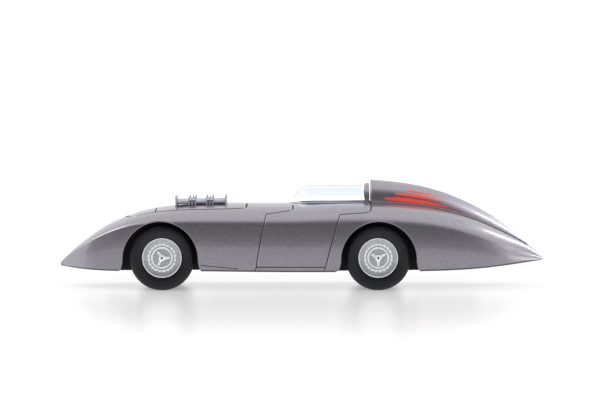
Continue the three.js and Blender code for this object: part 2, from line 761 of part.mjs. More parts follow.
function addBody() {
  add(car, 'body_shell', bodyShell(), BODY_GREY);
  add(car, 'headrest_fairing', headrestFairing(), BODY_GREY);
  add(car, 'cockpit_coaming', cockpitCoaming(), BODY_GREY);
  add(car, 'canopy', canopy(), CLEAR);
  add(car, 'headrest_hoop', headrestHoop(), BODY_GREY);
  add(car, 'headrest_pad', headrestPad(), LEATHER);
  add(car, 'base_plate', basePlate(), SEMI_BLACK);
  add(car, 'body_screw_front', bodyScrew(SCREW_XS.front), STEEL);
  add(car, 'body_screw_rear', bodyScrew(SCREW_XS.rear), STEEL);
}

function addCockpit() {
  add(car, 'cockpit_tub', cockpitTub(), SEMI_BLACK);
  add(car, 'seat_cushion', seatCushion(), LEATHER);
  add(car, 'seat_back', seatBack(), LEATHER);
  add(car, 'dashboard', dashboard(), BODY_GREY);
  for (const [place, side] of [['left', -1], ['centre', 0], ['right', 1]]) {
    const dial = add(car, `dash_dial_${place}`, dashDial(), SEMI_BLACK);
    dial.position.set(0, side * DIAL_SPACING, DIAL_Z);
  }
  const steering = new THREE.Group();
  steering.position.set(STEERING_X, 0, STEERING_Z);
  steering.rotation.y = -STEERING_RAKE;
  car.add(steering);
  add(steering, 'steering_wheel', steeringWheel(), SEMI_BLACK);
  add(steering, 'steering_column', steeringColumn(), STEEL);
  add(car, 'gear_lever', gearLever(), STEEL).position.set(4, 4.2, TUB_FLOOR + GAP);
}

function addCooler() {
  add(car, 'cooler_tubes', coolerTubes(), COOLER_METAL);
  add(car, 'cooler_header_front', coolerHeader(-1), COOLER_METAL);
  add(car, 'cooler_header_rear', coolerHeader(1), COOLER_METAL);
  add(car, 'cooler_clamp_front', coolerClamp(-2.2), COOLER_METAL);
  add(car, 'cooler_clamp_rear', coolerClamp(2.2), COOLER_METAL);
}

addBody();
addCockpit();
addCooler();
addRunningGear();

export default car;
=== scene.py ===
"""Finishes a 1:43 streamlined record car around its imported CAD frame.

Lengths in the shape code are millimetres in the row frame (+X to the tail, +Y to the
car's right, +Z up) and become metres when a mesh is made.
"""

import collections
import functools
import json
import math

import bpy
import numpy as np
from mathutils import Matrix, Vector
from mathutils.bvhtree import BVHTree
from mathutils.interpolate import poly_3d_calc

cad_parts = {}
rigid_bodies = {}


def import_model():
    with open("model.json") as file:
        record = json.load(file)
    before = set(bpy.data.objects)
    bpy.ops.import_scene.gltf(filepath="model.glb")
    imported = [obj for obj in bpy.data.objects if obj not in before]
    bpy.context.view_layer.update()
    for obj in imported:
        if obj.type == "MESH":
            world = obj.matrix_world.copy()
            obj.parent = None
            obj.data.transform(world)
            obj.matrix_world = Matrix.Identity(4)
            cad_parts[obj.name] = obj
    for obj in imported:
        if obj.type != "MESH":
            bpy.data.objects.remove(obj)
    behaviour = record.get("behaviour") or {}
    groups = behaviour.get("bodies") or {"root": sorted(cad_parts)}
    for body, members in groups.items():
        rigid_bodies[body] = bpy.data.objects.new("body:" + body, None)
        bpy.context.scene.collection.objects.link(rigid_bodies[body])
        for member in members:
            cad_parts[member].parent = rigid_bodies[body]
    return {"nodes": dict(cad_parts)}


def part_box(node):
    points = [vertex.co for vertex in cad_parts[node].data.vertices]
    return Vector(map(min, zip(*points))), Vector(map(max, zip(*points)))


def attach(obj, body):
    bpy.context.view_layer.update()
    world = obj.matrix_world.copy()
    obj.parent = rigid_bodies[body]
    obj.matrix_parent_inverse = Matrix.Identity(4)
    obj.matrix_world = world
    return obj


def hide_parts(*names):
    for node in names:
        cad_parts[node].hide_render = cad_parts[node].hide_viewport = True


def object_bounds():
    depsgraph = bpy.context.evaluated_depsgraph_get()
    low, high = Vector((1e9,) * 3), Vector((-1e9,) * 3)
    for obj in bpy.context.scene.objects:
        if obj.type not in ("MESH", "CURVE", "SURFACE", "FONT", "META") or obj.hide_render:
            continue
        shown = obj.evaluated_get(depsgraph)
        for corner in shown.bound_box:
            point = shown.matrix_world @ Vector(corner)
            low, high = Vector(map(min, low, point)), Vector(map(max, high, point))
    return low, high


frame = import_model()
cad_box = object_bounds()

MM = 0.001
TAU = 2 * math.pi


def box_mm(node):
    """Lowest and highest corner of a CAD node, in millimetres."""
    low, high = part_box(node)
    return low / MM, high / MM


# ---- driving dimensions ----
NOSE_X = cad_box[0].x / MM
TAIL_X = cad_box[1].x / MM
ARCH_RADIUS = 9.45
ARCH_Z = 7.6
ARCH_XS = (-34.9, 18.85)
ARCH_FLARE = 1.2
LIP_RADIUS = 0.17
WELL_INNER_Y = 10.9
WALL = 1.6
AXLE_SLOT = 2.2
SIDE_BARREL = 0.035
CROWN_FLATNESS = 3
SHOULDER_POWER = 1.7
PLATE_FRONT_X = box_mm("base_plate")[0].x
PLATE_REAR_X = box_mm("base_plate")[1].x

COCKPIT_FRONT_X = box_mm("cockpit_coaming")[0].x
COCKPIT_REAR_X = 16.9
COAMING_OUTER = 7.2
COAMING_INNER = 6.2
COAMING_NOSE = 6.0
COAMING_SLOPE = 0.01
COAMING_TOP = 21.15
CANOPY_FRONT_X = box_mm("canopy")[0].x
CANOPY_REAR_X = box_mm("canopy")[1].x
CANOPY_HALF_WIDTH = box_mm("canopy")[1].y
CANOPY_HEIGHT = 4.1
CANOPY_WALL = 0.45
FAIRING_FRONT_X = box_mm("headrest_fairing")[0].x
FAIRING_REAR_X = 57.8

TYRE_RADIUS = 8.0
RIM_RADIUS = 4.9
WHEEL_FACE_Y = box_mm("front_right_tyre")[1].y
BONNET_GROOVE = 0.55
DECK_GROOVE = 0.36
SIDE_GROOVE = 0.24
SWAGE_WIDTH = 0.13
GROOVE_EDGE = 0.05
BROAD_EDGE = 0.2
EDGE_DEPTH = 0.08
GROOVE_DEPTH = 0.24
GROOVE_TOP = 0.25
CUT_REACH = 25
SIDES = ((-1, "left"), (1, "right"))
ENDS = ("front", "rear")
PAINTED, GAP, WELL, SILL, PANEL_EDGE = range(5)


def spline(points):
    """Natural cubic spline through (x, value) points, as a function of x."""
    x = np.array([p[0] for p in points], float)
    v = np.array([p[1] for p in points], float)
    h = np.diff(x)
    count = len(x)
    system = np.eye(count)
    load = np.zeros(count)
    for i in range(1, count - 1):
        system[i, i - 1:i + 2] = h[i - 1], 2 * (h[i - 1] + h[i]), h[i]
        load[i] = 6 * ((v[i + 1] - v[i]) / h[i] - (v[i] - v[i - 1]) / h[i - 1])
    bend = np.linalg.solve(system, load)

    def value(at):
        i = int(np.clip(np.searchsorted(x, at) - 1, 0, count - 2))
        a = (x[i + 1] - at) / h[i]
        b = 1 - a
        curve = ((a**3 - a) * bend[i] + (b**3 - b) * bend[i + 1]) * h[i] ** 2 / 6
        return float(a * v[i] + b * v[i + 1] + curve)

    return value


deck_line = spline([
    (NOSE_X, 6), (-58, 8.5), (-54, 11.85), (-49, 15.3), (-45, 17.15), (-40, 18.85), (-34, 20),
    (-26, 20.68), (-14, 20.87), (-3, 20.9), (5, 21.2), (12, 21.35), (26, 20.9), (40, 18.1),
    (52, 12.9), (56.5, 10.35), (TAIL_X, 7.35),
])
shoulder_line = spline([
    (NOSE_X, 5.85), (-57, 8.85), (-54, 10.9), (-49, 13.5), (-43, 15.5), (-34, 16.1), (-18, 15.7),
    (8, 15.6), (26, 15.3), (37, 13.95), (45, 11.55), (53, 8.35), (TAIL_X, 7.05),
])
keel_line = spline([
    (NOSE_X, 5.35), (-54, 4.87), (-45, 4.68), (-25, 4.75), (-12, 4.6), (5, 4.53), (28, 4.72),
    (44, 5.18), (54, 6.09), (TAIL_X, 6.8),
])
plan_line = spline([
    (NOSE_X, 2.4), (-55, 9.4), (-46, 15.4), (-34, 17.8), (-8, 18), (20, 17.8), (34, 16.4),
    (46, 11.9), (56, 5.6), (TAIL_X, 1.8),
])
fairing_line = spline([(17, 26.8), (27, 25.68), (38, 22.58), (48, 17.4), (54, 13.32), (58, 10.05)])
fairing_width = spline([(17, 6.5), (28, 6), (42, 4.2), (52, 2.3), (59, 0.8)])
fairing_roundness = spline([(17, 2.1), (30, 1.95), (40, 1.55), (50, 1.4), (58, 1.4)])


# ---- mesh tools ----
def facing_out(mesh):
    """Turns a closed mesh's faces outwards."""
    volume = 0.0
    for polygon in mesh.polygons:
        corners = [mesh.vertices[i].co for i in polygon.vertices]
        for b, c in zip(corners[1:], corners[2:]):
            volume += corners[0].dot(b.cross(c))
    if volume < 0:
        mesh.flip_normals()


def solid(name, points, faces):
    """A closed mesh object, from points in millimetres, with its faces turned outwards."""
    mesh = bpy.data.meshes.new(name)
    mesh.from_pydata([(x * MM, y * MM, z * MM) for x, y, z in points], [], faces)
    mesh.update()
    facing_out(mesh)
    piece = bpy.data.objects.new(name, mesh)
    bpy.context.scene.collection.objects.link(piece)
    return piece


def smooth(piece, angle=35):
    mesh = piece.data
    mesh.polygons.foreach_set("use_smooth", [True] * len(mesh.polygons))
    mesh.set_sharp_from_angle(angle=math.radians(angle))


def finish(piece, material, nodes=(), body="root", angle=35):
    """Shades a piece, gives it its material, and lets it ride on its body."""
    if material is not None:
        piece.data.materials.clear()
        piece.data.materials.append(material)
    if angle:
        smooth(piece, angle)
    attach(piece, body)
    if nodes:
        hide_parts(*nodes)


def moved(piece, to=(0, 0, 0), turn=0, axis="Z"):
    """Turns a piece's mesh about an axis through the origin, then moves it."""
    piece.data.transform(Matrix.Translation(Vector(to) * MM) @ Matrix.Rotation(turn, 4, axis))
    return piece


def lofted(name, rings):
    """A closed skin over rings of the same count, with flat ends."""
    count = len(rings[0])
    faces = []
    for r in range(len(rings) - 1):
        for i in range(count):
            a = r * count + i
            b = r * count + (i + 1) % count
            faces.append((a, b, b + count, a + count))
    faces.append(tuple(reversed(range(count))))
    last = (len(rings) - 1) * count
    faces.append(tuple(range(last, last + count)))
    return solid(name, [p for ring in rings for p in ring], faces)


def turned(name, profile, sides=48):
    """A (radius, y) profile turned about the Y axis.

    The profile starts and ends on the axis, or is a closed loop when it doesn't."""
    points = []
    rows = []
    for radius, y in profile:
        first = len(points)
        if radius == 0:
            rows.append([first] * sides)
            points.append((0, y, 0))
            continue
        rows.append(range(first, first + sides))
        for k in range(sides):
            turn = TAU * k / sides
            points.append((radius * math.sin(turn), y, radius * math.cos(turn)))
    if profile[0][0] != 0:
        rows.append(rows[0])
    faces = []
    for low, high in zip(rows, rows[1:]):
        for k in range(sides):
            n = (k + 1) % sides
            corners = [low[k], low[n], high[n], high[k]]
            face = [c for j, c in enumerate(corners) if c != corners[j - 1]]
            if len(face) > 2:
                faces.append(tuple(face))
    return solid(name, points, faces)


def pin(radius, start, end):
    """Profile of a plain cylinder, to be turned."""
    return [(0, start), (radius, start), (radius, end), (0, end)]


def along_x(name, profile, x, y, z, sides=48):
    """A turned piece on an axis along X: (radius, distance) pairs from front to rear."""
    return moved(turned(name, profile, sides), (x, y, z), -math.pi / 2)


def along_z(name, profile, x, y, sides):
    """A turned piece on an axis along Z: (radius, height) pairs from foot to top."""
    return moved(turned(name, profile, sides), (x, y, 0), math.pi / 2, "X")


def extrude_outline(name, outline, low, high, axis):
    """A closed prism: a 2-D outline in the plane across axis, between two places on it."""
    place = {
        "X": lambda a, b, t: (t, a, b),
        "Y": lambda a, b, t: (a, t, b),
        "Z": lambda a, b, t: (a, b, t),
    }[axis]
    count = len(outline)
    points = [place(a, b, t) for t in (low, high) for a, b in outline]
    faces = [tuple(reversed(range(count))), tuple(range(count, 2 * count))]
    for i in range(count):
        n = (i + 1) % count
        faces.append((i, n, n + count, i + count))
    return solid(name, points, faces)


def block(name, x0, x1, y0, y1, z0, z1):
    return extrude_outline(name, [(x0, y0), (x1, y0), (x1, y1), (x0, y1)], z0, z1, "Z")


def applied(piece):
    """Replaces a piece's mesh by what its modifiers make of it."""
    graph = bpy.context.evaluated_depsgraph_get()
    graph.update()
    mesh = bpy.data.meshes.new_from_object(piece.evaluated_get(graph))
    piece.modifiers.clear()
    piece.data = mesh
    return piece


def carve(piece, cutters, operation="DIFFERENCE"):
    """Cuts closed shapes from a closed piece, or joins them to it, one after another."""
    for cutter in cutters:
        cut = piece.modifiers.new("cut", "BOOLEAN")
        cut.operation = operation
        cut.solver = "MANIFOLD"
        cut.object = cutter
    applied(piece)
    for cutter in cutters:
        bpy.data.objects.remove(cutter)
    return piece


def joined(pieces, name):
    """Several closed pieces fused into the first."""
    pieces[0].name = name
    return carve(pieces[0], pieces[1:], "UNION")


def bevel(piece, width, segments=3, angle=40):
    edge = piece.modifiers.new("edge", "BEVEL")
    edge.width = width * MM
    edge.segments = segments
    edge.limit_method = "ANGLE"
    edge.angle_limit = math.radians(angle)
    return applied(piece)


def sweep(name, placed, section):
    """A closed tube: section points (across, out) carried along a path of (point, normal)."""
    path = [point for point, _ in placed]
    rings = []
    for i, (point, normal) in enumerate(placed):
        along = (path[min(i + 1, len(path) - 1)] - path[max(i - 1, 0)]).normalized()
        across = normal.cross(along).normalized()
        out = along.cross(across).normalized()
        rings.append([point + across * a + out * b for a, b in section])
    return lofted(name, rings)


def circle_section(radius, sides):
    turns = [TAU * k / sides for k in range(sides)]
    return [(radius * math.cos(turn), radius * math.sin(turn)) for turn in turns]


# ---- materials ----
def new_material(name):
    material = bpy.data.materials.new(name)
    material.use_nodes = True
    tree = material.node_tree
    return material, tree, tree.nodes["Principled BSDF"]


def feed(tree, node, **inputs):
    """Sets or links a node's inputs by name, with _ for a space."""
    for key, value in inputs.items():
        socket = node.inputs[key.replace("_", " ")]
        if isinstance(value, bpy.types.NodeSocket):
            tree.links.new(value, socket)
        else:
            socket.default_value = value


def texture(tree, kind, scale, **inputs):
    """A texture node laid out in object space, with its cell size as 1 / scale metres."""
    place = tree.nodes.new("ShaderNodeTexCoord")
    node = tree.nodes.new(kind)
    feed(tree, node, Vector=place.outputs["Object"], Scale=scale, **inputs)
    return node


def ramp(tree, source, stops):
    """Colour from a ramp over (position, colour) stops; a single number makes a grey."""
    node = tree.nodes.new("ShaderNodeValToRGB")
    elements = node.color_ramp.elements
    while len(elements) < len(stops):
        elements.new(0.5)
    for element, (position, colour) in zip(elements, stops):
        element.position = position
        if isinstance(colour, (int, float)):
            colour = (colour, colour, colour)
        element.color = (*colour, 1)
    tree.links.new(source, node.inputs["Fac"])
    return node.outputs["Color"]


def two_tone(tree, source, low, high, start=0.3, end=0.7):
    return ramp(tree, source, [(start, low), (end, high)])


def bump(tree, height, strength, distance):
    node = tree.nodes.new("ShaderNodeBump")
    feed(tree, node, Strength=strength, Distance=distance, Height=height)
    return node.outputs["Normal"]


def flake_paint(name, dark, light, roughness=0.34):
    """Metallic lacquer: fine flakes of two greys under a smooth clear coat."""
    material, tree, shader = new_material(name)
    flakes = texture(tree, "ShaderNodeTexVoronoi", 7000)
    cloud = texture(tree, "ShaderNodeTexNoise", 1500, Detail=3)
    overlay = tree.nodes.new("ShaderNodeMix")
    overlay.data_type = "RGBA"
    overlay.blend_type = "OVERLAY"
    flake_tone = two_tone(tree, flakes.outputs["Color"], dark, light, 0.2, 0.8)
    cloud_tone = two_tone(tree, cloud.outputs["Fac"], 0.49, 0.51)
    feed(tree, overlay, Factor=0.35, A=flake_tone, B=cloud_tone)
    rough = two_tone(tree, flakes.outputs["Color"], roughness - 0.06, roughness + 0.08, 0.1, 0.9)
    tilt = bump(tree, flakes.outputs["Distance"], 0.12, 0.00002)
    feed(tree, shader, Base_Color=overlay.outputs["Result"], Roughness=rough, Normal=tilt,
         Metallic=0.82, Coat_Weight=0.8, Coat_Roughness=0.07, Coat_IOR=1.5)
    return material


def plain_noise(name, low, high, scale, roughness, metallic=0.0, grain=0.15, depth=0.00002):
    """A material of one colour family with fine variation in tone, gloss and surface."""
    material, tree, shader = new_material(name)
    noise = texture(tree, "ShaderNodeTexNoise", scale, Detail=4).outputs["Fac"]
    feed(tree, shader, Base_Color=two_tone(tree, noise, low, high),
         Roughness=two_tone(tree, noise, *roughness), Normal=bump(tree, noise, grain, depth),
         Metallic=metallic)
    return material


def clear_plastic(name):
    """Clear moulded plastic that lets the lamps through to what it covers."""
    material, tree, shader = new_material(name)
    noise = texture(tree, "ShaderNodeTexNoise", 400, Detail=2)
    feed(tree, shader, Roughness=two_tone(tree, noise.outputs["Fac"], 0.01, 0.05),
         Base_Color=(0.93, 0.97, 1, 1), Transmission_Weight=1.0, IOR=1.3)
    see_through = tree.nodes.new("ShaderNodeBsdfTransparent")
    feed(tree, see_through, Color=(0.92, 0.95, 0.97, 1))
    ray = tree.nodes.new("ShaderNodeLightPath")
    blended(tree, ray.outputs["Is Shadow Ray"], shader.outputs["BSDF"], see_through.outputs["BSDF"],
            tree.nodes["Material Output"])
    return material


def blended(tree, share, first, second, output):
    """Gives an output node's surface a mix of two shaders."""
    blend = tree.nodes.new("ShaderNodeMixShader")
    for socket, value in zip(blend.inputs, (share, first, second)):
        tree.links.new(value, socket)
    feed(tree, output, Surface=blend.outputs["Shader"])


def leather(name):
    """Dark grained leather: rounded cells over a slow change of tone."""
    material, tree, shader = new_material(name)
    cells = texture(tree, "ShaderNodeTexVoronoi", 4500).outputs["Distance"]
    cloud = texture(tree, "ShaderNodeTexNoise", 600, Detail=3)
    tone = two_tone(tree, cloud.outputs["Fac"], (0.016, 0.013, 0.012), (0.035, 0.028, 0.025))
    feed(tree, shader, Base_Color=tone, Roughness=two_tone(tree, cells, 0.45, 0.7, 0.0),
         Normal=bump(tree, cells, 0.4, 0.00003))
    return material


PAINT = flake_paint("silver_grey_flake_paint", (0.262, 0.248, 0.285), (0.385, 0.368, 0.42))
PANEL_GAP = plain_noise(
    "panel_gap_shadow", (0.02, 0.02, 0.022), (0.045, 0.043, 0.047), 3000, (0.5, 0.7))
# painted shade: a darker copy of the body paint for the turned-under faces of the sill
SILL_SHADE = flake_paint("painted_shade_under_sill", (0.07, 0.066, 0.076), (0.11, 0.105, 0.12), 0.45)
# painted highlight: a lighter copy of the body paint for the softened edges of the panel lines
EDGE_HIGHLIGHT_PAINT = flake_paint("painted_highlight_on_panel_edges", (0.42, 0.41, 0.45), (0.54, 0.53, 0.58), 0.4)
WELL_BLACK = plain_noise(
    "wheel_well_black", (0.006, 0.006, 0.007), (0.014, 0.014, 0.015), 1500, (0.6, 0.8))
CHASSIS_BLACK = plain_noise(
    "chassis_black_moulding", (0.011, 0.011, 0.012), (0.024, 0.024, 0.026), 2500, (0.42, 0.6),
    grain=0.25)
RUBBER = plain_noise(
    "tyre_rubber", (0.006, 0.006, 0.011), (0.011, 0.011, 0.018), 1800, (0.4, 0.52), grain=0.2)
# bright plating whose near-white, partly diffuse colour is also a painted reflection of the lamps'
# glare on chrome
BRIGHT = plain_noise(
    "bright_plate_painted_reflection", (0.92, 0.92, 0.94), (0.97, 0.97, 0.98), 900, (0.2, 0.26), 0.45, grain=0.01)
# painted shade: greyer and darker copies of the wheel alloy for its recessed bands
RECESS_SHADE_ALLOY = plain_noise(
    "alloy_with_painted_recess_shade", (0.42, 0.43, 0.45), (0.56, 0.57, 0.6), 1400, (0.28, 0.38), 0.8, grain=0.05)
DARK_ALLOY = plain_noise(
    "shaded_alloy", (0.14, 0.14, 0.15), (0.2, 0.2, 0.215), 1400, (0.3, 0.4), 0.8, grain=0.05)
STEEL = plain_noise(
    "turned_steel", (0.42, 0.42, 0.43), (0.6, 0.6, 0.61), 3000, (0.28, 0.4), 1.0)
COOLER_METAL = plain_noise(
    "cooler_metal", (0.34, 0.355, 0.42), (0.42, 0.435, 0.5), 2500, (0.34, 0.46), 0.1)
GLOSS_BLACK = plain_noise(
    "gloss_black_moulding", (0.010, 0.010, 0.011), (0.018, 0.018, 0.019), 2000, (0.18, 0.3))
RED_PRINT = plain_noise(
    "red_print", (0.84, 0.035, 0.022), (0.94, 0.05, 0.032), 2500, (0.42, 0.52))
DIAL_WHITE = plain_noise(
    "dial_white", (0.7, 0.7, 0.68), (0.8, 0.8, 0.78), 4000, (0.4, 0.5))
CLEAR = clear_plastic("clear_canopy_plastic")
LEATHER = leather("dark_leather")


# ---- body surface ----
Section = collections.namedtuple("Section", "width crown_width keel belt middle join deck")
NOSE_ROUNDING = 0.45
TAIL_ROUNDING = 0.6
SILL_RADIUS = 0.6


def smooth_end(share):
    return max(share, 0) ** (1 / CROWN_FLATNESS)


@functools.lru_cache(maxsize=None)
def section_at(x):
    """The body's section at x: its widths, its heights and where its side meets the crown."""
    width = plan_line(x)
    deck = deck_line(x)
    keel = keel_line(x)
    middle = min(max(shoulder_line(x), keel + 0.15), deck - 0.2)
    belt = (keel + middle) / 2
    slope = 2 * SIDE_BARREL * width / (belt - keel)
    steepness = slope * CROWN_FLATNESS * (deck - middle) / (SHOULDER_POWER * width)
    share = min(steepness ** (1 / (SHOULDER_POWER - 1)), 0.3)
    join = middle + (deck - middle) * share
    at_join = width * (1 - SIDE_BARREL * ((join - belt) / (belt - keel)) ** 2)
    crown_width = at_join / smooth_end(1 - share**SHOULDER_POWER)
    return Section(width, crown_width, keel, belt, middle, join, deck)


def side_y(x, z):
    """Half width of the body's skin at a height."""
    at = section_at(x)
    if z >= at.join:
        share = min((z - at.middle) / (at.deck - at.middle), 1)
        return at.crown_width * smooth_end(1 - share**SHOULDER_POWER)
    return at.width * (1 - SIDE_BARREL * ((z - at.belt) / (at.belt - at.keel)) ** 2)


def deck_z(x, y):
    """Height of the deck at a place in plan."""
    at = section_at(x)
    share = min(abs(y) / at.crown_width, 1)
    return at.middle + (at.deck - at.middle) * (1 - share**CROWN_FLATNESS) ** (1 / SHOULDER_POWER)


def body_half(x):
    """Half section from the belly's centre to the crown, with a rounded sill."""
    at = section_at(x)
    radius = min(SILL_RADIUS, (at.middle - at.keel) * 0.45, at.width * 0.45)
    sill = side_y(x, at.keel + radius)
    half = [((sill - radius) * i / 5, at.keel) for i in range(5)]
    for i in range(6):
        turn = math.pi / 2 * i / 5
        half.append((sill - radius + radius * math.sin(turn), at.keel + radius * (1 - math.cos(turn))))
    steps = 18
    for i in range(1, steps):
        z = at.keel + radius + (at.join - at.keel - radius) * i / steps
        half.append((side_y(x, z), z))
    steps = 34
    first = (at.join - at.middle) / (at.deck - at.middle)
    for i in range(steps + 1):
        share = first + (1 - first) * math.sin(math.pi / 2 * i / steps) ** 1.4
        z = at.middle + (at.deck - at.middle) * share
        half.append((0 if i == steps else side_y(x, z), z))
    return half


def mirrored_ring(x, half):
    other = [(-y, z) for y, z in reversed(half[1:-1])]
    return [Vector((x, y, z)) for y, z in half + other]


def squeezed(ring, share):
    """A ring drawn in towards its own middle."""
    middle = sum(ring, Vector()) / len(ring)
    return [middle + (p - middle) * share for p in ring]


def rounded_end_share(depth, radius):
    """Share of the full section left at a depth from a rounded end."""
    if depth >= radius:
        return 1.0
    return math.sqrt(max(1 - (1 - depth / radius) ** 2, 0.0004))


def body_skin(name, step=0.5):
    inner = np.arange(NOSE_X + 1, TAIL_X - 1, step)
    ends = [0, 0.02, 0.06, 0.12, 0.2, 0.3, 0.45, 0.6, 0.8]
    places = [NOSE_X + e for e in ends] + list(inner) + [TAIL_X - e for e in reversed(ends)]
    rings = []
    for x in places:
        ring = mirrored_ring(x, body_half(x))
        share = rounded_end_share(x - NOSE_X, NOSE_ROUNDING)
        share *= rounded_end_share(TAIL_X - x, TAIL_ROUNDING)
        rings.append(squeezed(ring, share))
    return lofted(name, rings)


def skin_normal(x, y, z):
    """Outward unit normal of the body's skin near a point on it."""
    side = 1 if y >= 0 else -1
    step = 0.05
    at = section_at(x)
    if z > (at.middle + at.deck) / 2:
        dx = (deck_z(x + step, y) - deck_z(x - step, y)) / (2 * step)
        dy = (deck_z(x, y + step) - deck_z(x, y - step)) / (2 * step)
        return Vector((-dx, -dy, 1)).normalized()
    dx = (side_y(x + step, z) - side_y(x - step, z)) / (2 * step)
    dz = (side_y(x, z + step) - side_y(x, z - step)) / (2 * step)
    return Vector((-dx, side, -dz)).normalized()


# ---- panel lines ----
def on_side(x, z, side):
    y = side * side_y(x, z)
    return Vector((x, y, z)), skin_normal(x, y, z)


def on_deck(x, y):
    z = deck_z(x, y)
    return Vector((x, y, z)), skin_normal(x, y, z)


def even_path(points, step=0.35, rounding=0):
    """Points along a polyline, closely and evenly spaced, its corners cut if asked."""
    line = [Vector(p) for p in points]
    for _ in range(rounding):
        cut = [line[0]]
        for a, b in zip(line, line[1:]):
            cut += [a.lerp(b, 0.25), a.lerp(b, 0.75)]
        line = cut + [line[-1]]
    out = [line[0]]
    for a, b in zip(line, line[1:]):
        pieces = max(1, round((b - a).length / step))
        out += [a.lerp(b, k / pieces) for k in range(1, pieces + 1)]
    return out


def groove(name, placed, width, broad=0):
    """Two cutters along a path on the skin: softened edges in a lighter paint, a painted highlight,
    then a dark slot.

    The edge on the side named by broad, 1 or -1 across the path, is the wider one."""
    half = width / 2
    left = half + (BROAD_EDGE if broad < 0 else GROOVE_EDGE)
    right = half + (BROAD_EDGE if broad > 0 else GROOVE_EDGE)
    edges = sweep(f"{name}_edge", placed, [
        (-left, GROOVE_TOP), (-left, 0.02), (-half * 0.9, -EDGE_DEPTH), (half * 0.9, -EDGE_DEPTH),
        (right, 0.02), (right, GROOVE_TOP),
    ])
    slot = sweep(f"{name}_slot", placed, [
        (-half, GROOVE_TOP), (-half, 0), (-half * 0.6, -GROOVE_DEPTH), (half * 0.6, -GROOVE_DEPTH),
        (half, 0), (half, GROOVE_TOP),
    ])
    give_index(edges, PANEL_EDGE)
    give_index(slot, GAP)
    return [edges, slot]


def give_index(cutter, index):
    for material in (PAINT, PANEL_GAP, WELL_BLACK, SILL_SHADE, EDGE_HIGHLIGHT_PAINT):
        cutter.data.materials.append(material)
    cutter.data.polygons.foreach_set("material_index", [index] * len(cutter.data.polygons))


BONNET_FRONT_X = -43.9
BONNET_REAR_X = -13.75
BONNET_EDGE = [
    (BONNET_FRONT_X, 0), (-43.75, 3), (-43.3, 5.4), (-42.9, 7.8), (-42.2, 9.4), (-40.8, 10.2),
    (-39, 10.5), (-36.2, 10.9), (-31.4, 11.5), (-22.8, 12.1), (-15.4, 11.3), (-14, 10.6),
    (BONNET_REAR_X, 8.8), (BONNET_REAR_X, 0),
]
BONNET_JOINT_X = -36.3
BONNET_JOINT_HALF = 10.6
DOOR_FRONT = [(-8.9, 18.6), (-9.2, 17), (-9.86, 14.5), (-10.85, 8.8), (-11.5, 4.2)]
DOOR_REAR = [(9.3, 18.6), (8.85, 17), (8.05, 14.5), (6.8, 10), (5.4, 4.2)]
DOOR_FOOT_Z = 5.78
COWL_EDGE = [(-8.9, 14.5), (-5.5, 13.5), (-3.4, 12.9), (-2.5, 12.1), (-2.3, 10.6), (-2.3, 7.8)]
REAR_DECK_EDGE = [
    (9.3, 14.95), (13, 14.62), (15.4, 14.4), (16.5, 14), (17, 12.7), (17.03, 10.5), (17.03, 7),
]
LOWER_SWAGE = [(-25.1, 6.31), (-20, 5.78), (-15.7, 5.38)]


def panel_grooves():
    """Cutters for the panel lines: those of the deck, those of the sides, the bonnet's joint."""
    foot = [(DOOR_FRONT[-1][0] + 0.25, DOOR_FOOT_Z), (DOOR_REAR[-1][0] + 0.3, DOOR_FOOT_Z)]
    deck_lines = (
        ("bonnet", BONNET_EDGE, BONNET_GROOVE), ("cowl", COWL_EDGE, DECK_GROOVE),
        ("rear_deck", REAR_DECK_EDGE, DECK_GROOVE),
    )
    side_lines = (
        ("door_front", DOOR_FRONT, SIDE_GROOVE, -1), ("door_rear", DOOR_REAR, SIDE_GROOVE, -1),
        ("door_foot", foot, SIDE_GROOVE, 1), ("swage", LOWER_SWAGE, SWAGE_WIDTH, 0),
    )
    cutters = []
    for side, tag in SIDES:
        for key, points, width in deck_lines:
            path = even_path([(x, side * y, 0) for x, y in points], rounding=2)
            cutters += groove(f"cut_{key}_{tag}", [on_deck(p.x, p.y) for p in path], width)
        for key, points, width, broad in side_lines:
            placed = [on_side(p.x, p.z, side) for p in even_path([(x, 0, z) for x, z in points])]
            cutters += groove(f"cut_{key}_{tag}", placed, width, broad * side)
    across = even_path([(BONNET_JOINT_X, side * BONNET_JOINT_HALF, 0) for side in (-1, 1)])
    return cutters + groove("cut_bonnet_joint", [on_deck(p.x, p.y) for p in across], DECK_GROOVE)


# ---- body shell ----
ARCH_FOOT_Z = 4.7
ARCH_FLARE_HEIGHT = 2.9
CAVITY_FLOOR_Z = 2
OPENING_CLEARANCE = 0.25
AXLE_CLEARANCE = 0.6
SLOT_REACH = 15
SKIN_MATCH = 0.03


def arch_side(centre_x, radius, steps=96):
    """Side outline of a wheel arch: a half circle whose two feet flare at the sill."""
    def foot(side):
        reach = centre_x + side * (radius + ARCH_FLARE)
        line = [(reach, -3), (reach, ARCH_FOOT_Z - 0.15)]
        for i in range(7):
            turn = math.pi / 2 * i / 7
            line.append((
                centre_x + side * (radius + ARCH_FLARE * (1 - math.sin(turn))),
                ARCH_FOOT_Z + ARCH_FLARE_HEIGHT * (1 - math.cos(turn)),
            ))
        return line

    bow = []
    for i in range(steps + 1):
        turn = math.pi * i / steps
        bow.append((centre_x + radius * math.cos(turn), ARCH_Z + radius * math.sin(turn)))
    return foot(1) + bow + foot(-1)[::-1]


def cockpit_outline(half_width, front_x, rear_x, nose_length, steps=40):
    outline = [(rear_x, -half_width), (rear_x, half_width)]
    for i in range(steps + 1):
        turn = math.pi * i / steps
        outline.append((front_x + nose_length * (1 - math.sin(turn)), half_width * math.cos(turn)))
    return outline


def cavity_half_width(x):
    return plan_line(x) * (1 - SIDE_BARREL) - WALL


def arch_prisms(name, radius, inner_y):
    """A prism through each of the four wheel arches, from inner_y outwards."""
    return [extrude_outline(name, arch_side(x, radius), low, high, "Y")
            for x in ARCH_XS for low, high in ((inner_y, CUT_REACH), (-CUT_REACH, -inner_y))]


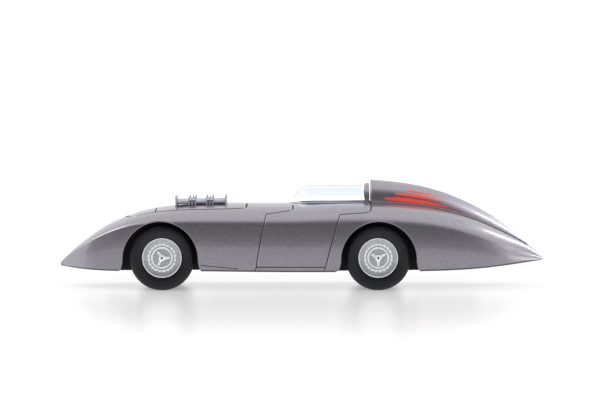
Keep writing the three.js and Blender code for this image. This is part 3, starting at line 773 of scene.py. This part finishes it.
def body_cavity():
    """Hollow of the casting, kept away from the wheel wells."""
    rings = []
    for x in np.linspace(PLATE_FRONT_X - 0.3, PLATE_REAR_X + 0.3, 60):
        side = cavity_half_width(x)
        top = deck_line(x) - WALL
        middle = min(shoulder_line(x) - 0.8, top - 0.5)
        half = [(0, CAVITY_FLOOR_Z), (side, CAVITY_FLOOR_Z)]
        for i in range(13):
            turn = math.pi / 2 * i / 12
            y = 0 if i == 12 else side * math.cos(turn)
            half.append((y, middle + (top - middle) * math.sin(turn)))
        rings.append(mirrored_ring(x, half))
    walls = arch_prisms("well_wall", ARCH_RADIUS + WALL, WELL_INNER_Y - WALL)
    return carve(lofted("cut_cavity", rings), walls)


def body_cutters():
    opening = cockpit_outline(
        COAMING_OUTER + OPENING_CLEARANCE, COCKPIT_FRONT_X - OPENING_CLEARANCE, COCKPIT_REAR_X,
        COAMING_NOSE)
    cutters = [body_cavity(), extrude_outline("cut_opening", opening, 7, 30, "Z")]
    cutters += arch_prisms("cut_well", ARCH_RADIUS, WELL_INNER_Y)
    for end in ENDS:
        low, high = box_mm(f"{end}_axle")
        middle = (low.x + high.x) / 2
        cutters.append(block(
            "cut_slot", middle - AXLE_SLOT, middle + AXLE_SLOT, -SLOT_REACH, SLOT_REACH,
            CAVITY_FLOOR_Z, high.z + AXLE_CLEARANCE))
    for cutter in cutters:
        give_index(cutter, WELL)
    return cutters


def copy_skin_normals(piece, skin):
    """Gives the painted faces of a cut body the normals of the uncut skin."""
    corners = [v.co.copy() for v in skin.data.vertices]
    vertex_normals = [Vector(v.normal) for v in skin.data.vertices]
    faces = [tuple(p.vertices) for p in skin.data.polygons]
    tree = BVHTree.FromPolygons(corners, faces)
    mesh = piece.data
    normals = [Vector(n.vector) for n in mesh.corner_normals]
    for polygon in mesh.polygons:
        if polygon.material_index not in (PAINTED, SILL):
            continue
        for loop in polygon.loop_indices:
            at = mesh.vertices[mesh.loops[loop].vertex_index].co
            spot, _, face, distance = tree.find_nearest(at)
            if face is None or distance > SKIN_MATCH * MM or len(faces[face]) > 4:
                continue
            weights = poly_3d_calc([corners[v] for v in faces[face]], spot)
            normal = Vector()
            for v, w in zip(faces[face], weights):
                normal += vertex_normals[v] * w
            normals[loop] = normal.normalized()
    mesh.normals_split_custom_set([tuple(n) for n in normals])


def body_shell():
    piece = body_skin("painted_body")
    give_index(piece, PAINTED)
    # faces turned downwards under the sill take the darker paint, as painted shade
    for polygon in piece.data.polygons:
        if polygon.normal.z < -0.3 and abs(polygon.normal.x) < 0.9:
            polygon.material_index = SILL
    skin = body_skin("skin_reference")
    smooth(skin, 60)
    carve(piece, body_cutters())
    carve(piece, panel_grooves())
    smooth(piece, 30)
    copy_skin_normals(piece, skin)
    bpy.data.objects.remove(skin)
    finish(piece, None, ["body_shell"], angle=0)


def arch_lips():
    """A fine rolled edge round each wheel arch."""
    for x, end in zip(ARCH_XS, ENDS):
        for side, tag in SIDES:
            out = Vector((0, side, 0))
            placed = [(on_side(px, pz, side)[0] - out * (LIP_RADIUS - 0.01), out)
                      for px, pz in arch_side(x, ARCH_RADIUS, 80)[3:-3]]
            lip = sweep(f"arch_lip_{end}_{tag}", placed, circle_section(LIP_RADIUS, 12))
            finish(lip, PAINT, angle=60)


# ---- headrest fairing ----
def fairing_point(x, turn, inset=0.0):
    """A point (y, z) on the fairing's section; turn runs from 0 at the deck to pi/2 on top."""
    width = fairing_width(x) - inset
    spring = deck_line(x) - 0.4
    rise = fairing_line(x) - inset - spring
    power = 2 / fairing_roundness(x)
    y = width * max(math.cos(turn), 0) ** power
    return y, spring + rise * math.sin(turn) ** power


def fairing_half(x, inset, steps=28):
    half = [(0, deck_line(x) - 1.0), (fairing_width(x) - inset, deck_line(x) - 1.0)]
    for i in range(steps + 1):
        y, z = fairing_point(x, math.pi / 2 * i / steps, inset)
        half.append((0 if i == steps else y, z))
    return half


def headrest_fairing():
    edge = 0.4
    places = [0, 0.03, 0.1, 0.2, 0.32, edge] + list(np.arange(1, FAIRING_REAR_X - FAIRING_FRONT_X, 0.5))
    rings = []
    for depth in places:
        x = FAIRING_FRONT_X + depth
        inset = edge - math.sqrt(max(edge**2 - (edge - depth) ** 2, 0)) if depth < edge else 0
        rings.append(mirrored_ring(x, fairing_half(x, inset)))
    finish(lofted("painted_fairing", rings), PAINT, ["headrest_fairing"], angle=40)


def fairing_flange():
    """A fine rounded flange where the fairing meets the deck."""
    for side, tag in SIDES:
        placed = []
        for x in np.arange(FAIRING_FRONT_X + 0.1, FAIRING_REAR_X - 1.5, 0.5):
            y = side * (fairing_width(x) + 0.12)
            placed.append((Vector((x, y, deck_z(x, y) + 0.06)), Vector((0, 0, 1))))
        piece = sweep(f"fairing_flange_{tag}", placed, circle_section(0.3, 16))
        finish(piece, PAINT, angle=60)


STRIPES = (
    (20.4, 41.5, 0.24, 0.9),
    (23.0, 38.8, 0.48, 0.62),
    (26.0, 36.0, 0.68, 0.4),
)


def speed_stripes():
    """Three plain tapered stripes printed on each flank of the fairing."""
    steps = 60
    for side, tag in SIDES:
        for number, (x0, x1, level, width) in enumerate(STRIPES):
            rings = []
            for i in range(steps + 1):
                share = i / steps
                x = x0 + (x1 - x0) * share
                turn = math.asin(level ** (fairing_roundness(x) / 2))
                taper = math.sin(math.pi * min(share * 1.25 + 0.02, 1) ** 0.7) ** 0.8
                half = 0.03 + 0.5 * width * taper
                y, z = fairing_point(x, turn)
                y2, z2 = fairing_point(x, turn + 0.02)
                up = Vector((0, side * (y2 - y), z2 - z)).normalized()
                out = Vector((0, side * abs(up.z), abs(up.y))).normalized()
                centre = Vector((x, side * y, z))
                rings.append([
                    centre + up * half - out * 0.03, centre + up * half + out * 0.02,
                    centre + out * 0.025,
                    centre - up * half + out * 0.02, centre - up * half - out * 0.03,
                ])
            finish(lofted(f"stripe_{number + 1}_{tag}", rings), RED_PRINT, angle=60)


# ---- cockpit ----
def coaming_top(x):
    return COAMING_TOP + COAMING_SLOPE * x


def cockpit_coaming():
    outline = cockpit_outline(COAMING_OUTER, COCKPIT_FRONT_X, COCKPIT_REAR_X - 0.3, COAMING_NOSE)
    outer = extrude_outline("painted_coaming", outline, 19.6, 24, "Z")
    outline = cockpit_outline(COAMING_INNER, COCKPIT_FRONT_X + 1, 30, COAMING_NOSE)
    inner = extrude_outline("cut_inner", outline, 15, 30, "Z")
    lid = extrude_outline(
        "cut_lid", [(-30, coaming_top(-30)), (30, coaming_top(30)), (30, 40), (-30, 40)], -20, 20, "Y")
    carve(outer, [inner, lid])
    bevel(outer, 0.14, 3, 50)
    finish(outer, PAINT, ["cockpit_coaming"], angle=30)


def canopy_ring(x, inset, drop, steps=24):
    back = CANOPY_REAR_X - CANOPY_FRONT_X
    along = min((x - CANOPY_FRONT_X - inset) / back, 1) * back

    def rise(length, power):
        short = max(1 - along / length, 0)
        return max(1 - short**power, 0) ** (1 / power)

    width = max((CANOPY_HALF_WIDTH - inset) * rise(8, 2), 0.05)
    height = max((CANOPY_HEIGHT - inset) * rise(5, 2.5), 0.05)
    floor = coaming_top(x) + 0.06
    half = [(0, floor - drop), (width, floor - drop)]
    for i in range(steps + 1):
        turn = math.pi / 2 * i / steps
        y = 0 if i == steps else width * max(math.cos(turn), 0) ** (2 / 2.3)
        half.append((y, floor + 0.04 + height * math.sin(turn) ** (2 / 2.3)))
    return mirrored_ring(x, half)


def canopy():
    def shell(name, front, rear, inset, drop, count=44):
        spread = [front + (rear - front) * (i / count) ** 1.8 for i in range(count + 1)]
        return lofted(name, [canopy_ring(x, inset, drop) for x in spread])

    piece = shell("clear_canopy", CANOPY_FRONT_X + 0.01, CANOPY_REAR_X, 0, 0)
    hollow_front_x = CANOPY_FRONT_X + CANOPY_WALL + 0.01
    carve(piece, [shell("cut_canopy", hollow_front_x, CANOPY_REAR_X + 2, CANOPY_WALL, 1)])
    finish(piece, CLEAR, ["canopy"])


def arch_outline(half_width, base, top, steps=48):
    outline = []
    for i in range(steps + 1):
        turn = math.pi * i / steps
        rise = max(math.sin(turn), 0) ** 0.9
        outline.append((half_width * math.cos(turn), base + (top - base) * rise))
    return outline


PAD_STEP = 0.09
PAD_ROUNDING = 0.55
CHANNEL_WIDTH = 0.07
CHANNEL_DEPTH = 0.13
SEAT_BACK_LEAN = 0.12
SEAT_BACK_THICKNESS = 1.6
STEERING_CENTRE = Vector((5.9, 0, 16))
STEERING_RAKE = 0.3
STEERING_RADIUS = 2.9


def pad_ring(y, half_width, channels, x, z, depth, height, sides=40):
    """One slice of a stuffed pad: a full rounded section, drawn in at its stitched channels."""
    ends = rounded_end_share(half_width - abs(y), PAD_ROUNDING)
    place = channels * (y + half_width) / (2 * half_width)
    inside = 0.5 < place < channels - 0.5
    seam = math.exp(-((place - round(place)) / CHANNEL_WIDTH) ** 2) if inside else 0
    crown = 0.9 + 0.1 * math.sqrt(max(1 - (y / half_width) ** 2, 0))
    share = ends * crown * (1 - CHANNEL_DEPTH * seam)
    ring = []
    for k in range(sides):
        turn = TAU * k / sides
        across = math.copysign(abs(math.cos(turn)) ** 0.55, math.cos(turn))
        up = math.copysign(abs(math.sin(turn)) ** 0.55, math.sin(turn))
        ring.append(Vector((x + depth / 2 * across * share, y, z + height / 2 * up * share)))
    return ring


def leather_pad(name, half_width, channels, slice_at):
    """A stuffed pad; slice_at gives a slice's middle x and z, its depth and its height."""
    count = round(2 * half_width / PAD_STEP)
    places = [half_width * (2 * i / count - 1) for i in range(count + 1)]
    return lofted(name, [pad_ring(y, half_width, channels, *slice_at(y)) for y in places])


def headrest():
    low, high = box_mm("headrest_hoop")
    hoop = extrude_outline("bright_hoop", arch_outline(high.y, low.z, high.z), low.x, high.x, "X")
    inside = arch_outline(high.y - 1, low.z + 0.8, high.z - 0.8)
    carve(hoop, [extrude_outline("cut_hoop", inside, low.x - 1, high.x + 1, "X")])
    bevel(hoop, 0.22, 4, 50)
    finish(hoop, PAINT, ["headrest_hoop"], angle=40)
    low, high = box_mm("headrest_pad")

    def arched(y):
        top = low.z + (high.z - low.z) * max(1 - (y / high.y) ** 2, 0.02) ** 0.45
        return (low.x + high.x) / 2, (low.z + top) / 2, high.x - low.x, top - low.z

    pad = leather_pad("leather_headrest", high.y, 4, arched)
    finish(pad, LEATHER, ["headrest_pad"], angle=60)


def seats():
    """A channelled seat cushion and a seat back that leans to the rear."""
    low, high = box_mm("seat_cushion")
    middle = (low + high) / 2
    cushion_slice = (middle.x, middle.z, high.x - low.x, high.z - low.z)
    cushion = leather_pad("leather_seat_cushion", high.y, 5, lambda y: cushion_slice)
    finish(cushion, LEATHER, ["seat_cushion"], angle=60)
    low, high = box_mm("seat_back")
    height = high.z - low.z - SEAT_BACK_THICKNESS * math.sin(SEAT_BACK_LEAN)
    back_slice = (0, 0, SEAT_BACK_THICKNESS, height / math.cos(SEAT_BACK_LEAN) * 0.98)
    back = leather_pad("leather_seat_back", high.y, 5, lambda y: back_slice)
    moved(back, (low + high) / 2, SEAT_BACK_LEAN, "Y")
    finish(back, LEATHER, ["seat_back"], angle=60)


def dashboard():
    """A panel with a rolled edge and three white dials with plain marks and a hand."""
    low, high = box_mm("dashboard")
    outline = arch_outline(high.y, low.z, high.z)
    panel = extrude_outline("painted_dashboard", outline, low.x, high.x, "X")
    bevel(panel, 0.2, 4, 50)
    finish(panel, PAINT, ["dashboard"], angle=40)
    for place, hand in (("left", -0.9), ("centre", 0.5), ("right", 1.3)):
        low, high = box_mm(f"dash_dial_{place}")
        middle = (low + high) / 2
        centre = (low.x, middle.y, middle.z)
        radius = (high.z - low.z) / 2 * 0.99
        glass = radius - 0.2
        bezel = along_x(f"dial_bezel_{place}", [
            (0, 0), (radius, 0), (radius, 0.2), (radius - 0.1, 0.3), (radius - 0.18, 0.24),
            (glass, 0.12), (0, 0.12),
        ], *centre)
        finish(bezel, GLOSS_BLACK, [f"dash_dial_{place}"])
        face = along_x(f"dial_face_{place}", pin(glass, 0.1, 0.15), *centre)
        finish(face, DIAL_WHITE)
        marks = []
        for k in range(-4, 5):
            outline = [(-0.02, 0.5), (0.02, 0.5), (0.02, 0.62), (-0.02, 0.62)]
            mark = extrude_outline("mark", outline, 0.13, 0.17, "X")
            marks.append(moved(mark, turn=k * 0.55, axis="X"))
        outline = [(-0.035, -0.12), (0.035, -0.12), (0.012, 0.5), (-0.012, 0.5)]
        needle = extrude_outline("needle", outline, 0.13, 0.19, "X")
        marks.append(moved(needle, turn=hand, axis="X"))
        scale = moved(joined(marks, f"dial_marks_{place}"), centre)
        finish(scale, GLOSS_BLACK)


def controls():
    """A three-spoked steering wheel on its column, and a gear lever in a gaiter."""
    ring = [(STEERING_RADIUS + a, b) for a, b in circle_section(0.27, 16)]
    parts = [along_x("wheel_rim", ring, 0, 0, 0, 96), along_x("hub", [
        (0, -0.24), (0.55, -0.24), (0.68, -0.1), (0.68, 0.1), (0.5, 0.2), (0, 0.24),
    ], 0, 0, 0)]
    for k in range(3):
        outline = [(-0.3, 0.3), (0.3, 0.3), (0.2, 2.9), (-0.2, 2.9)]
        spoke = extrude_outline("spoke", outline, -0.09, 0.09, "X")
        carve(spoke, [along_x("hole", pin(0.11, -0.5, 0.5), 0, 0, z, 16) for z in (1.0, 1.5, 2.0)])
        parts.append(moved(spoke, turn=k * TAU / 3, axis="X"))
    wheel = joined(parts, "three_spoke_steering_wheel")
    moved(wheel, STEERING_CENTRE, -STEERING_RAKE, "Y")
    finish(wheel, GLOSS_BLACK, ["steering_wheel"])
    column = along_x("steel_steering_column", [
        (0, -2.3), (0.3, -2.3), (0.39, -2.2), (0.39, -0.6), (0.3, -0.55), (0, -0.55),
    ], 0, 0, 0)
    moved(column, STEERING_CENTRE, -STEERING_RAKE, "Y")
    finish(column, STEEL, ["steering_column"])
    low, high = box_mm("gear_lever")
    foot, top = low.z, high.z
    lever = along_z("steel_gear_lever", [
        (0, foot), (0.5, foot), (0.52, foot + 0.15), (0.38, foot + 0.25), (0.42, foot + 0.4),
        (0.28, foot + 0.5), (0.3, foot + 0.62), (0.17, foot + 0.75), (0.14, top - 1.1),
        (0.3, top - 1.02), (0.52, top - 0.75), (0.57, top - 0.5), (0.45, top - 0.16),
        (0.25, top - 0.04), (0, top - 0.01),
    ], (low.x + high.x) / 2, (low.y + high.y) / 2, 32)
    finish(lever, STEEL, ["gear_lever"])


# ---- wheels ----
TREAD_RIBS = 7
TREAD_START, TREAD_END = -3.5, -0.9
TREAD_DEPTH = 0.07
SCALLOP_DEPTH = 0.42
HUB_RIB = 0.08
NUT_BORE = 0.27
SPINNER_TURNS = {("front", -1): 33, ("front", 1): 10, ("rear", -1): 60, ("rear", 1): 45}


def place_wheel_piece(piece, end, side, turn):
    """Moves a piece made round the origin, outer face at y = 0, to its wheel."""
    low, high = box_mm(f"{end}_axle")
    centre = Vector(((low.x + high.x) / 2, side * WHEEL_FACE_Y, (low.z + high.z) / 2)) * MM
    facing = Matrix.Rotation(0 if side > 0 else math.pi, 4, "Z")
    spin = Matrix.Rotation(math.radians(turn), 4, "Y")
    piece.data.transform(Matrix.Translation(centre) @ facing @ spin)


def tyre_profile():
    """Closed (radius, y) loop of a tyre with a ribbed tread and a bead line."""
    profile = [
        (RIM_RADIUS + 0.12, -4.1), (5.4, -4.3), (6.4, -4.4), (7.1, -4.38), (7.55, -4.1), (7.85, -3.7),
    ]
    for k in range(TREAD_RIBS):
        a = TREAD_START + (TREAD_END - TREAD_START) * k / TREAD_RIBS
        b = TREAD_START + (TREAD_END - TREAD_START) * (k + 1) / TREAD_RIBS
        sunk = TYRE_RADIUS - TREAD_DEPTH
        profile += [(TYRE_RADIUS, a + 0.04), (TYRE_RADIUS, b - 0.09), (sunk, b - 0.06), (sunk, b)]
    profile += [
        (7.97, -0.82), (7.85, -0.62), (7.65, -0.36), (7.35, -0.14), (7.05, -0.03), (6.75, -0.01),
        (6.68, -0.05), (6.62, -0.01), (6.0, -0.02), (5.5, -0.08), (5.22, -0.18),
        (RIM_RADIUS + 0.12, -0.3),
    ]
    return profile


def rim_profile():
    return [
        (0, -1.9), (1.1, -1.9), (1.1, -4.15), (4.6, -4.15), (4.86, -4.0), (4.88, -0.26), (4.87, -0.14),
        (4.83, -0.06), (4.76, -0.03), (4.69, -0.05), (4.63, -0.14), (4.59, -0.3), (4.53, -0.36),
        (4.46, -0.38), (3.3, -0.38), (3.2, -0.5), (3.15, -1.38), (0, -1.38),
    ]


def pressed_disc(name, sides=360, lobes=20, ribs=24):
    """The pressed wheel disc: a scalloped ridge, a raised ring and a ribbed hub recess.

    Its profile holds (radius, y, share of the scallops' depth)."""
    profile = [
        (3.66, -0.6, 1), (3.66, -0.4, 1), (3.58, -0.24, 1), (3.46, -0.14, 0.8), (3.34, -0.11, 0.5),
        (3.22, -0.15, 0.2), (3.1, -0.28, 0.05), (3.0, -0.42, 0), (2.94, -0.47, 0), (2.78, -0.48, 0),
        (2.7, -0.42, 0), (2.6, -0.26, 0), (2.5, -0.16, 0), (2.41, -0.13, 0), (2.32, -0.17, 0),
        (2.23, -0.3, 0), (2.16, -0.52, 0), (2.12, -0.74, 0), (2.04, -0.82, 0), (1.9, -0.84, 0),
        (1.6, -0.82, 0), (1.3, -0.8, 0), (0.9, -0.76, 0),
    ]
    rings = []
    for r, y, share in profile:
        ring = []
        for k in range(sides):
            turn = TAU * k / sides
            reach = r + SCALLOP_DEPTH * share * (abs(math.sin(lobes * turn / 2)) ** 0.6 - 1)
            rib = HUB_RIB * math.cos(ribs * turn) if 1.2 < r < 2.0 else 0
            ring.append((reach * math.sin(turn), y + rib, reach * math.cos(turn)))
        rings.append(ring)
    return lofted(name, rings)


def spinner_piece(name):
    """A three-eared knock-off nut with a domed centre."""
    ears = [math.pi / 2 + k * TAU / 3 for k in range(3)]
    outline = []
    for ear in ears:
        for turn, r in ((-0.75, 0.78), (-0.42, 0.92), (-0.22, 1.35), (-0.13, 1.9), (-0.05, 2.05),
                        (0.05, 2.05), (0.13, 1.9), (0.22, 1.35), (0.42, 0.92), (0.75, 0.78)):
            outline.append((r * math.cos(ear + turn), r * math.sin(ear + turn)))
    piece = extrude_outline(name, outline, -0.45, -0.05, "Y")
    dome = turned("dome", [
        (0, -0.45), (0.8, -0.45), (0.8, -0.05), (0.68, 0.02), (0.45, 0.05), (0, 0.05),
    ])
    carve(piece, [dome], "UNION")
    holes = [turned("bore", pin(NUT_BORE, -0.35, 0.3), 32)]
    for ear in ears:
        spot = Vector((math.cos(ear), 0, math.sin(ear))) * 1.15
        holes.append(moved(turned("hole", pin(0.12, -0.3, 0.3), 16), spot))
    carve(piece, holes)
    return bevel(piece, 0.1)


def banded(piece, end, material, bands):
    """Gives a wheel piece another material between pairs of radii."""
    low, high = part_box(f"{end}_axle")
    centre = (low + high) / 2
    piece.data.materials.append(material)
    for polygon in piece.data.polygons:
        away = (polygon.center - centre) / MM
        radius = math.hypot(away.x, away.z)
        if any(inner < radius < outer for inner, outer in bands):
            polygon.material_index = len(piece.data.materials) - 1


def wheels():
    for end in ENDS:
        body = f"{end}_wheelset"
        for side, tag in SIDES:
            node = f"{end}_{tag}"
            tyre = turned(f"rubber_tyre_{node}", tyre_profile(), 160)
            rim = turned(f"alloy_rim_{node}", rim_profile(), 128)
            disc = pressed_disc(f"pressed_disc_{node}")
            nut = spinner_piece(f"knock_off_{node}")
            for piece, part, material, slot, angle, turn in (
                (tyre, "tyre", RUBBER, "tyre", 30, 0), (rim, "rim", BRIGHT, "wheel_alloy", 40, 0),
                (disc, "wheel_disc", BRIGHT, "wheel_alloy", 50, 0),
                (nut, "spinner", BRIGHT, "wheel_alloy", 40, SPINNER_TURNS[end, side]),
            ):
                place_wheel_piece(piece, end, side, turn)
                finish(piece, material, [f"{node}_{part}"], body, angle)
            # the greyer alloy in the recessed bands, the darker one on the hub recess's wall and the
            # black in the nut's bore are painted shade
            banded(rim, end, RECESS_SHADE_ALLOY, [(0, 4.6)])
            banded(disc, end, RECESS_SHADE_ALLOY, [(0, 2.18), (2.7, 3.04)])
            banded(disc, end, DARK_ALLOY, [(1.94, 2.17)])
            banded(nut, end, PANEL_GAP, [(0, NUT_BORE + 0.02)])
        low, high = box_mm(f"{end}_axle")
        radius = (high.z - low.z) / 2 * 0.99
        rod = turned(f"steel_axle_{end}", [
            (0, low.y), (radius - 0.15, low.y), (radius, low.y + 0.15), (radius, high.y - 0.15),
            (radius - 0.15, high.y), (0, high.y),
        ])
        moved(rod, ((low.x + high.x) / 2, 0, (low.z + high.z) / 2))
        finish(rod, STEEL, [f"{end}_axle"], body, 30)


# ---- bonnet cooler ----
COOLER_X = -25.15
COOLER_Z = 21.35
COOLER_HALF_LENGTH = 6.2
COOLER_HALF_WIDTH = 6.5
COOLER_TILT = 0.02
TUBE_RADIUS = 0.5
TUBE_COUNT = 7
TUBE_PITCH = 1.75


def at_cooler(piece):
    return moved(piece, (COOLER_X, 0, COOLER_Z), -COOLER_TILT, "Y")


def raised_deck():
    return moved(body_skin("deck_tool", 1.0), (0, 0, 0.02))


def cooler():
    """A bank of finned tubes between two end plates, held down by two studded straps."""
    reach = COOLER_HALF_LENGTH - 0.22
    half = COOLER_HALF_WIDTH
    rows = [(i - (TUBE_COUNT - 1) / 2) * TUBE_PITCH for i in range(TUBE_COUNT)]
    tubes = [along_x("tube", pin(TUBE_RADIUS, -reach, reach), 0, y, 0, 28) for y in rows]
    fins = [block("fin", x - 0.06, x + 0.06, rows[0], rows[-1], -0.3, 0.3)
            for x in np.arange(-5.2, 5.3, 0.8)]
    core = at_cooler(joined(tubes + fins, "cooler_core"))
    finish(core, COOLER_METAL, ["cooler_tubes"])
    for side, tag in zip((-1, 1), ENDS):
        x = side * COOLER_HALF_LENGTH
        header = at_cooler(block(f"cooler_end_{tag}", x - 0.18, x + 0.18, -half, half, -3, 1.52))
        carve(header, [raised_deck()])
        bevel(header, 0.09, 3, 50)
        finish(header, COOLER_METAL, [f"cooler_header_{tag}"], angle=30)
        centre = side * 2.2
        strap = block("strap", centre - 0.95, centre + 0.95, -half, half, 0.42, 0.56)
        parts = [bevel(strap, 0.05, 2, 50)]
        for y in (0.3 - half, half - 0.3):
            for x, top in ((-0.75, 1.5), (0, 1.2), (0.75, 1.5)):
                parts.append(along_z("stud", pin(0.15, -3, top), centre + x, y, 20))
                parts.append(along_z("nut", pin(0.23, 0.5, 0.66), centre + x, y, 6))
        clamp = at_cooler(joined(parts, f"cooler_strap_{tag}"))
        carve(clamp, [raised_deck()])
        finish(clamp, COOLER_METAL, [f"cooler_clamp_{tag}"], angle=30)


# ---- what stays from the CAD ----
KEPT_NODES = {
    "base_plate": CHASSIS_BLACK, "front_axle_clip": CHASSIS_BLACK, "rear_axle_clip": CHASSIS_BLACK,
    "body_screw_front": STEEL, "body_screw_rear": STEEL, "cockpit_tub": CHASSIS_BLACK,
}


def dress_kept_nodes():
    for node, material in KEPT_NODES.items():
        mesh = frame["nodes"][node].data
        mesh.materials.clear()
        mesh.materials.append(material)


# ---- stage, light and camera ----
CAMERA_DISTANCE = 950
CAMERA_ELEVATION = 2.5
CAMERA_TARGET = Vector((-0.54, 0, 21.57))
PIXELS_PER_MM = 4.0
DETAIL_NAMES = ("stripe_", "cooler_", "alloy_rim_", "pressed_disc_", "knock_off_")
# painted light: the floor's own emitted glow
FLOOR_GLOW = 0.33
IMAGE_WIDTH = 600
FLOOR_HALF = 6000


def camera():
    data = bpy.data.cameras.new("camera")
    data.sensor_width = 36
    data.lens = PIXELS_PER_MM * CAMERA_DISTANCE / IMAGE_WIDTH * data.sensor_width
    data.clip_end = 50
    view = bpy.data.objects.new("camera", data)
    tilt = math.radians(CAMERA_ELEVATION)
    offset = Vector((0, -math.cos(tilt), math.sin(tilt))) * CAMERA_DISTANCE
    view.location = (CAMERA_TARGET + offset) * MM
    view.rotation_euler = (math.pi / 2 - tilt, 0, 0)
    bpy.context.scene.collection.objects.link(view)
    bpy.context.scene.camera = view


def area_light(name, location, size, power):
    """A rectangular lamp that faces the origin."""
    data = bpy.data.lights.new(name, "AREA")
    data.shape = "RECTANGLE"
    data.size, data.size_y = size
    data.energy = power
    lamp = bpy.data.objects.new(name, data)
    lamp.location = location
    lamp.rotation_euler = (-Vector(location)).to_track_quat("-Z", "Y").to_euler()
    bpy.context.scene.collection.objects.link(lamp)
    return lamp


def floor_material():
    """White floor with painted light: an emitted glow that grows away from the car like a lit studio
    sweep.
    """
    material, tree, shader = new_material("white_floor")
    noise = texture(tree, "ShaderNodeTexNoise", 40, Detail=3)
    place = tree.nodes.new("ShaderNodeTexCoord")
    split = tree.nodes.new("ShaderNodeSeparateXYZ")
    feed(tree, split, Vector=place.outputs["Object"])
    behind = glow(tree, split.outputs["Y"], 0.05, 0.6, 0.5)
    in_front = glow(tree, split.outputs["Y"], -0.03, -0.3, 0.35)
    feed(tree, shader, Base_Color=two_tone(tree, noise.outputs["Fac"], 0.38, 0.4),
         Emission_Strength=computed(tree, "ADD", FLOOR_GLOW, computed(tree, "ADD", behind, in_front)),
         Roughness=0.2, Specular_IOR_Level=0.45, Emission_Color=(1, 1, 1, 1))
    return material


def stage():
    floor = block("floor", -FLOOR_HALF, FLOOR_HALF, -FLOOR_HALF, FLOOR_HALF, -5, -0.02)
    floor.data.materials.append(floor_material())
    return floor


def glow(tree, source, dark, bright, amount):
    """A smooth rise from nothing to an amount as a value goes from dark to bright."""
    node = tree.nodes.new("ShaderNodeMapRange")
    node.interpolation_type = "SMOOTHSTEP"
    feed(tree, node, From_Min=dark, From_Max=bright, To_Min=0, To_Max=amount, Value=source)
    return node.outputs["Result"]


def computed(tree, operation, *values):
    """The result of a sum on numbers and sockets."""
    node = tree.nodes.new("ShaderNodeMath")
    node.operation = operation
    for socket, value in zip(node.inputs, values):
        if isinstance(value, (int, float)):
            socket.default_value = value
        else:
            tree.links.new(value, socket)
    return node.outputs["Value"]


def sky_tone(tree, direction):
    """Brightness by angle about the car's length (0 behind it, 0.5 overhead, 1 in front), with a
    soft glow from beyond the nose and a bright spot beyond the tail."""
    split = tree.nodes.new("ShaderNodeSeparateXYZ")
    feed(tree, split, Vector=direction)
    angle = computed(tree, "ARCTAN2", split.outputs["Z"], split.outputs["Y"])
    arc = ramp(tree, computed(tree, "DIVIDE", angle, math.pi), [
        (0.0, 0.42), (0.1, 0.43), (0.3, 0.49), (0.5, 0.63), (0.57, 0.46), (0.65, 0.08), (0.85, 0.085),
        (1.0, 0.13),
    ])
    tone = computed(tree, "ADD", arc, glow(tree, split.outputs["X"], -0.35, -0.95, 0.04))
    return computed(tree, "ADD", tone, glow(tree, split.outputs["X"], 0.9, 0.98, 1.6))


def world():
    """The studio as a sky, which the camera sees, straight or through the canopy, as white paper."""
    sky = bpy.data.worlds.new("studio")
    bpy.context.scene.world = sky
    sky.use_nodes = True
    tree = sky.node_tree
    background = tree.nodes["Background"]
    place = tree.nodes.new("ShaderNodeTexCoord")
    feed(tree, background, Strength=2.0, Color=sky_tone(tree, place.outputs["Generated"]))
    paper = tree.nodes.new("ShaderNodeBackground")
    feed(tree, paper, Color=(1, 1, 1, 1), Strength=1.05)
    ray = tree.nodes.new("ShaderNodeLightPath").outputs
    seen = computed(tree, "MAXIMUM", ray["Is Camera Ray"], ray["Is Transmission Ray"])
    blended(tree, seen, background.outputs["Background"], paper.outputs["Background"],
            tree.nodes["World Output"])


def light_only(lamp, pieces, mirrored=False):
    """Keeps a lamp to some pieces, and out of their reflections unless it is mirrored."""
    lamp.visible_glossy = mirrored
    lit = bpy.data.collections.new(f"{lamp.name}_only")
    for piece in pieces:
        lit.objects.link(piece)
    lamp.light_linking.receiver_collection = lit


def lights(floor):
    """Tall softboxes beyond the ends of the car, one more for the ridge of the fairing, a low
    front lamp for the floor and a high front one for the print, the cooler and the wheels."""
    area_light("left_softbox", (-0.52, 0.12, 0.38), (0.12, 0.5), 1.2)
    area_light("right_softbox", (0.46, 0.42, 0.26), (0.12, 0.4), 1.1)
    light_only(area_light("floor_fill", (0, -1.2, 0.62), (1.2, 0.5), 24), [floor])
    ridge = area_light("ridge_softbox", (0.56, 0.14, 0.36), (0.1, 0.5), 1.3)
    light_only(ridge, [bpy.data.objects["painted_fairing"]], mirrored=True)
    detail = area_light("detail_fill", (0, -0.9, 0.95), (1, 1), 12)
    light_only(detail, [p for p in bpy.data.objects if p.name.startswith(DETAIL_NAMES)])


body_shell()
arch_lips()
headrest_fairing()
fairing_flange()
speed_stripes()
cockpit_coaming()
canopy()
headrest()
wheels()
cooler()
seats()
dashboard()
controls()
dress_kept_nodes()
lights(stage())
world()
camera()
bpy.context.scene.view_settings.view_transform = "Standard"
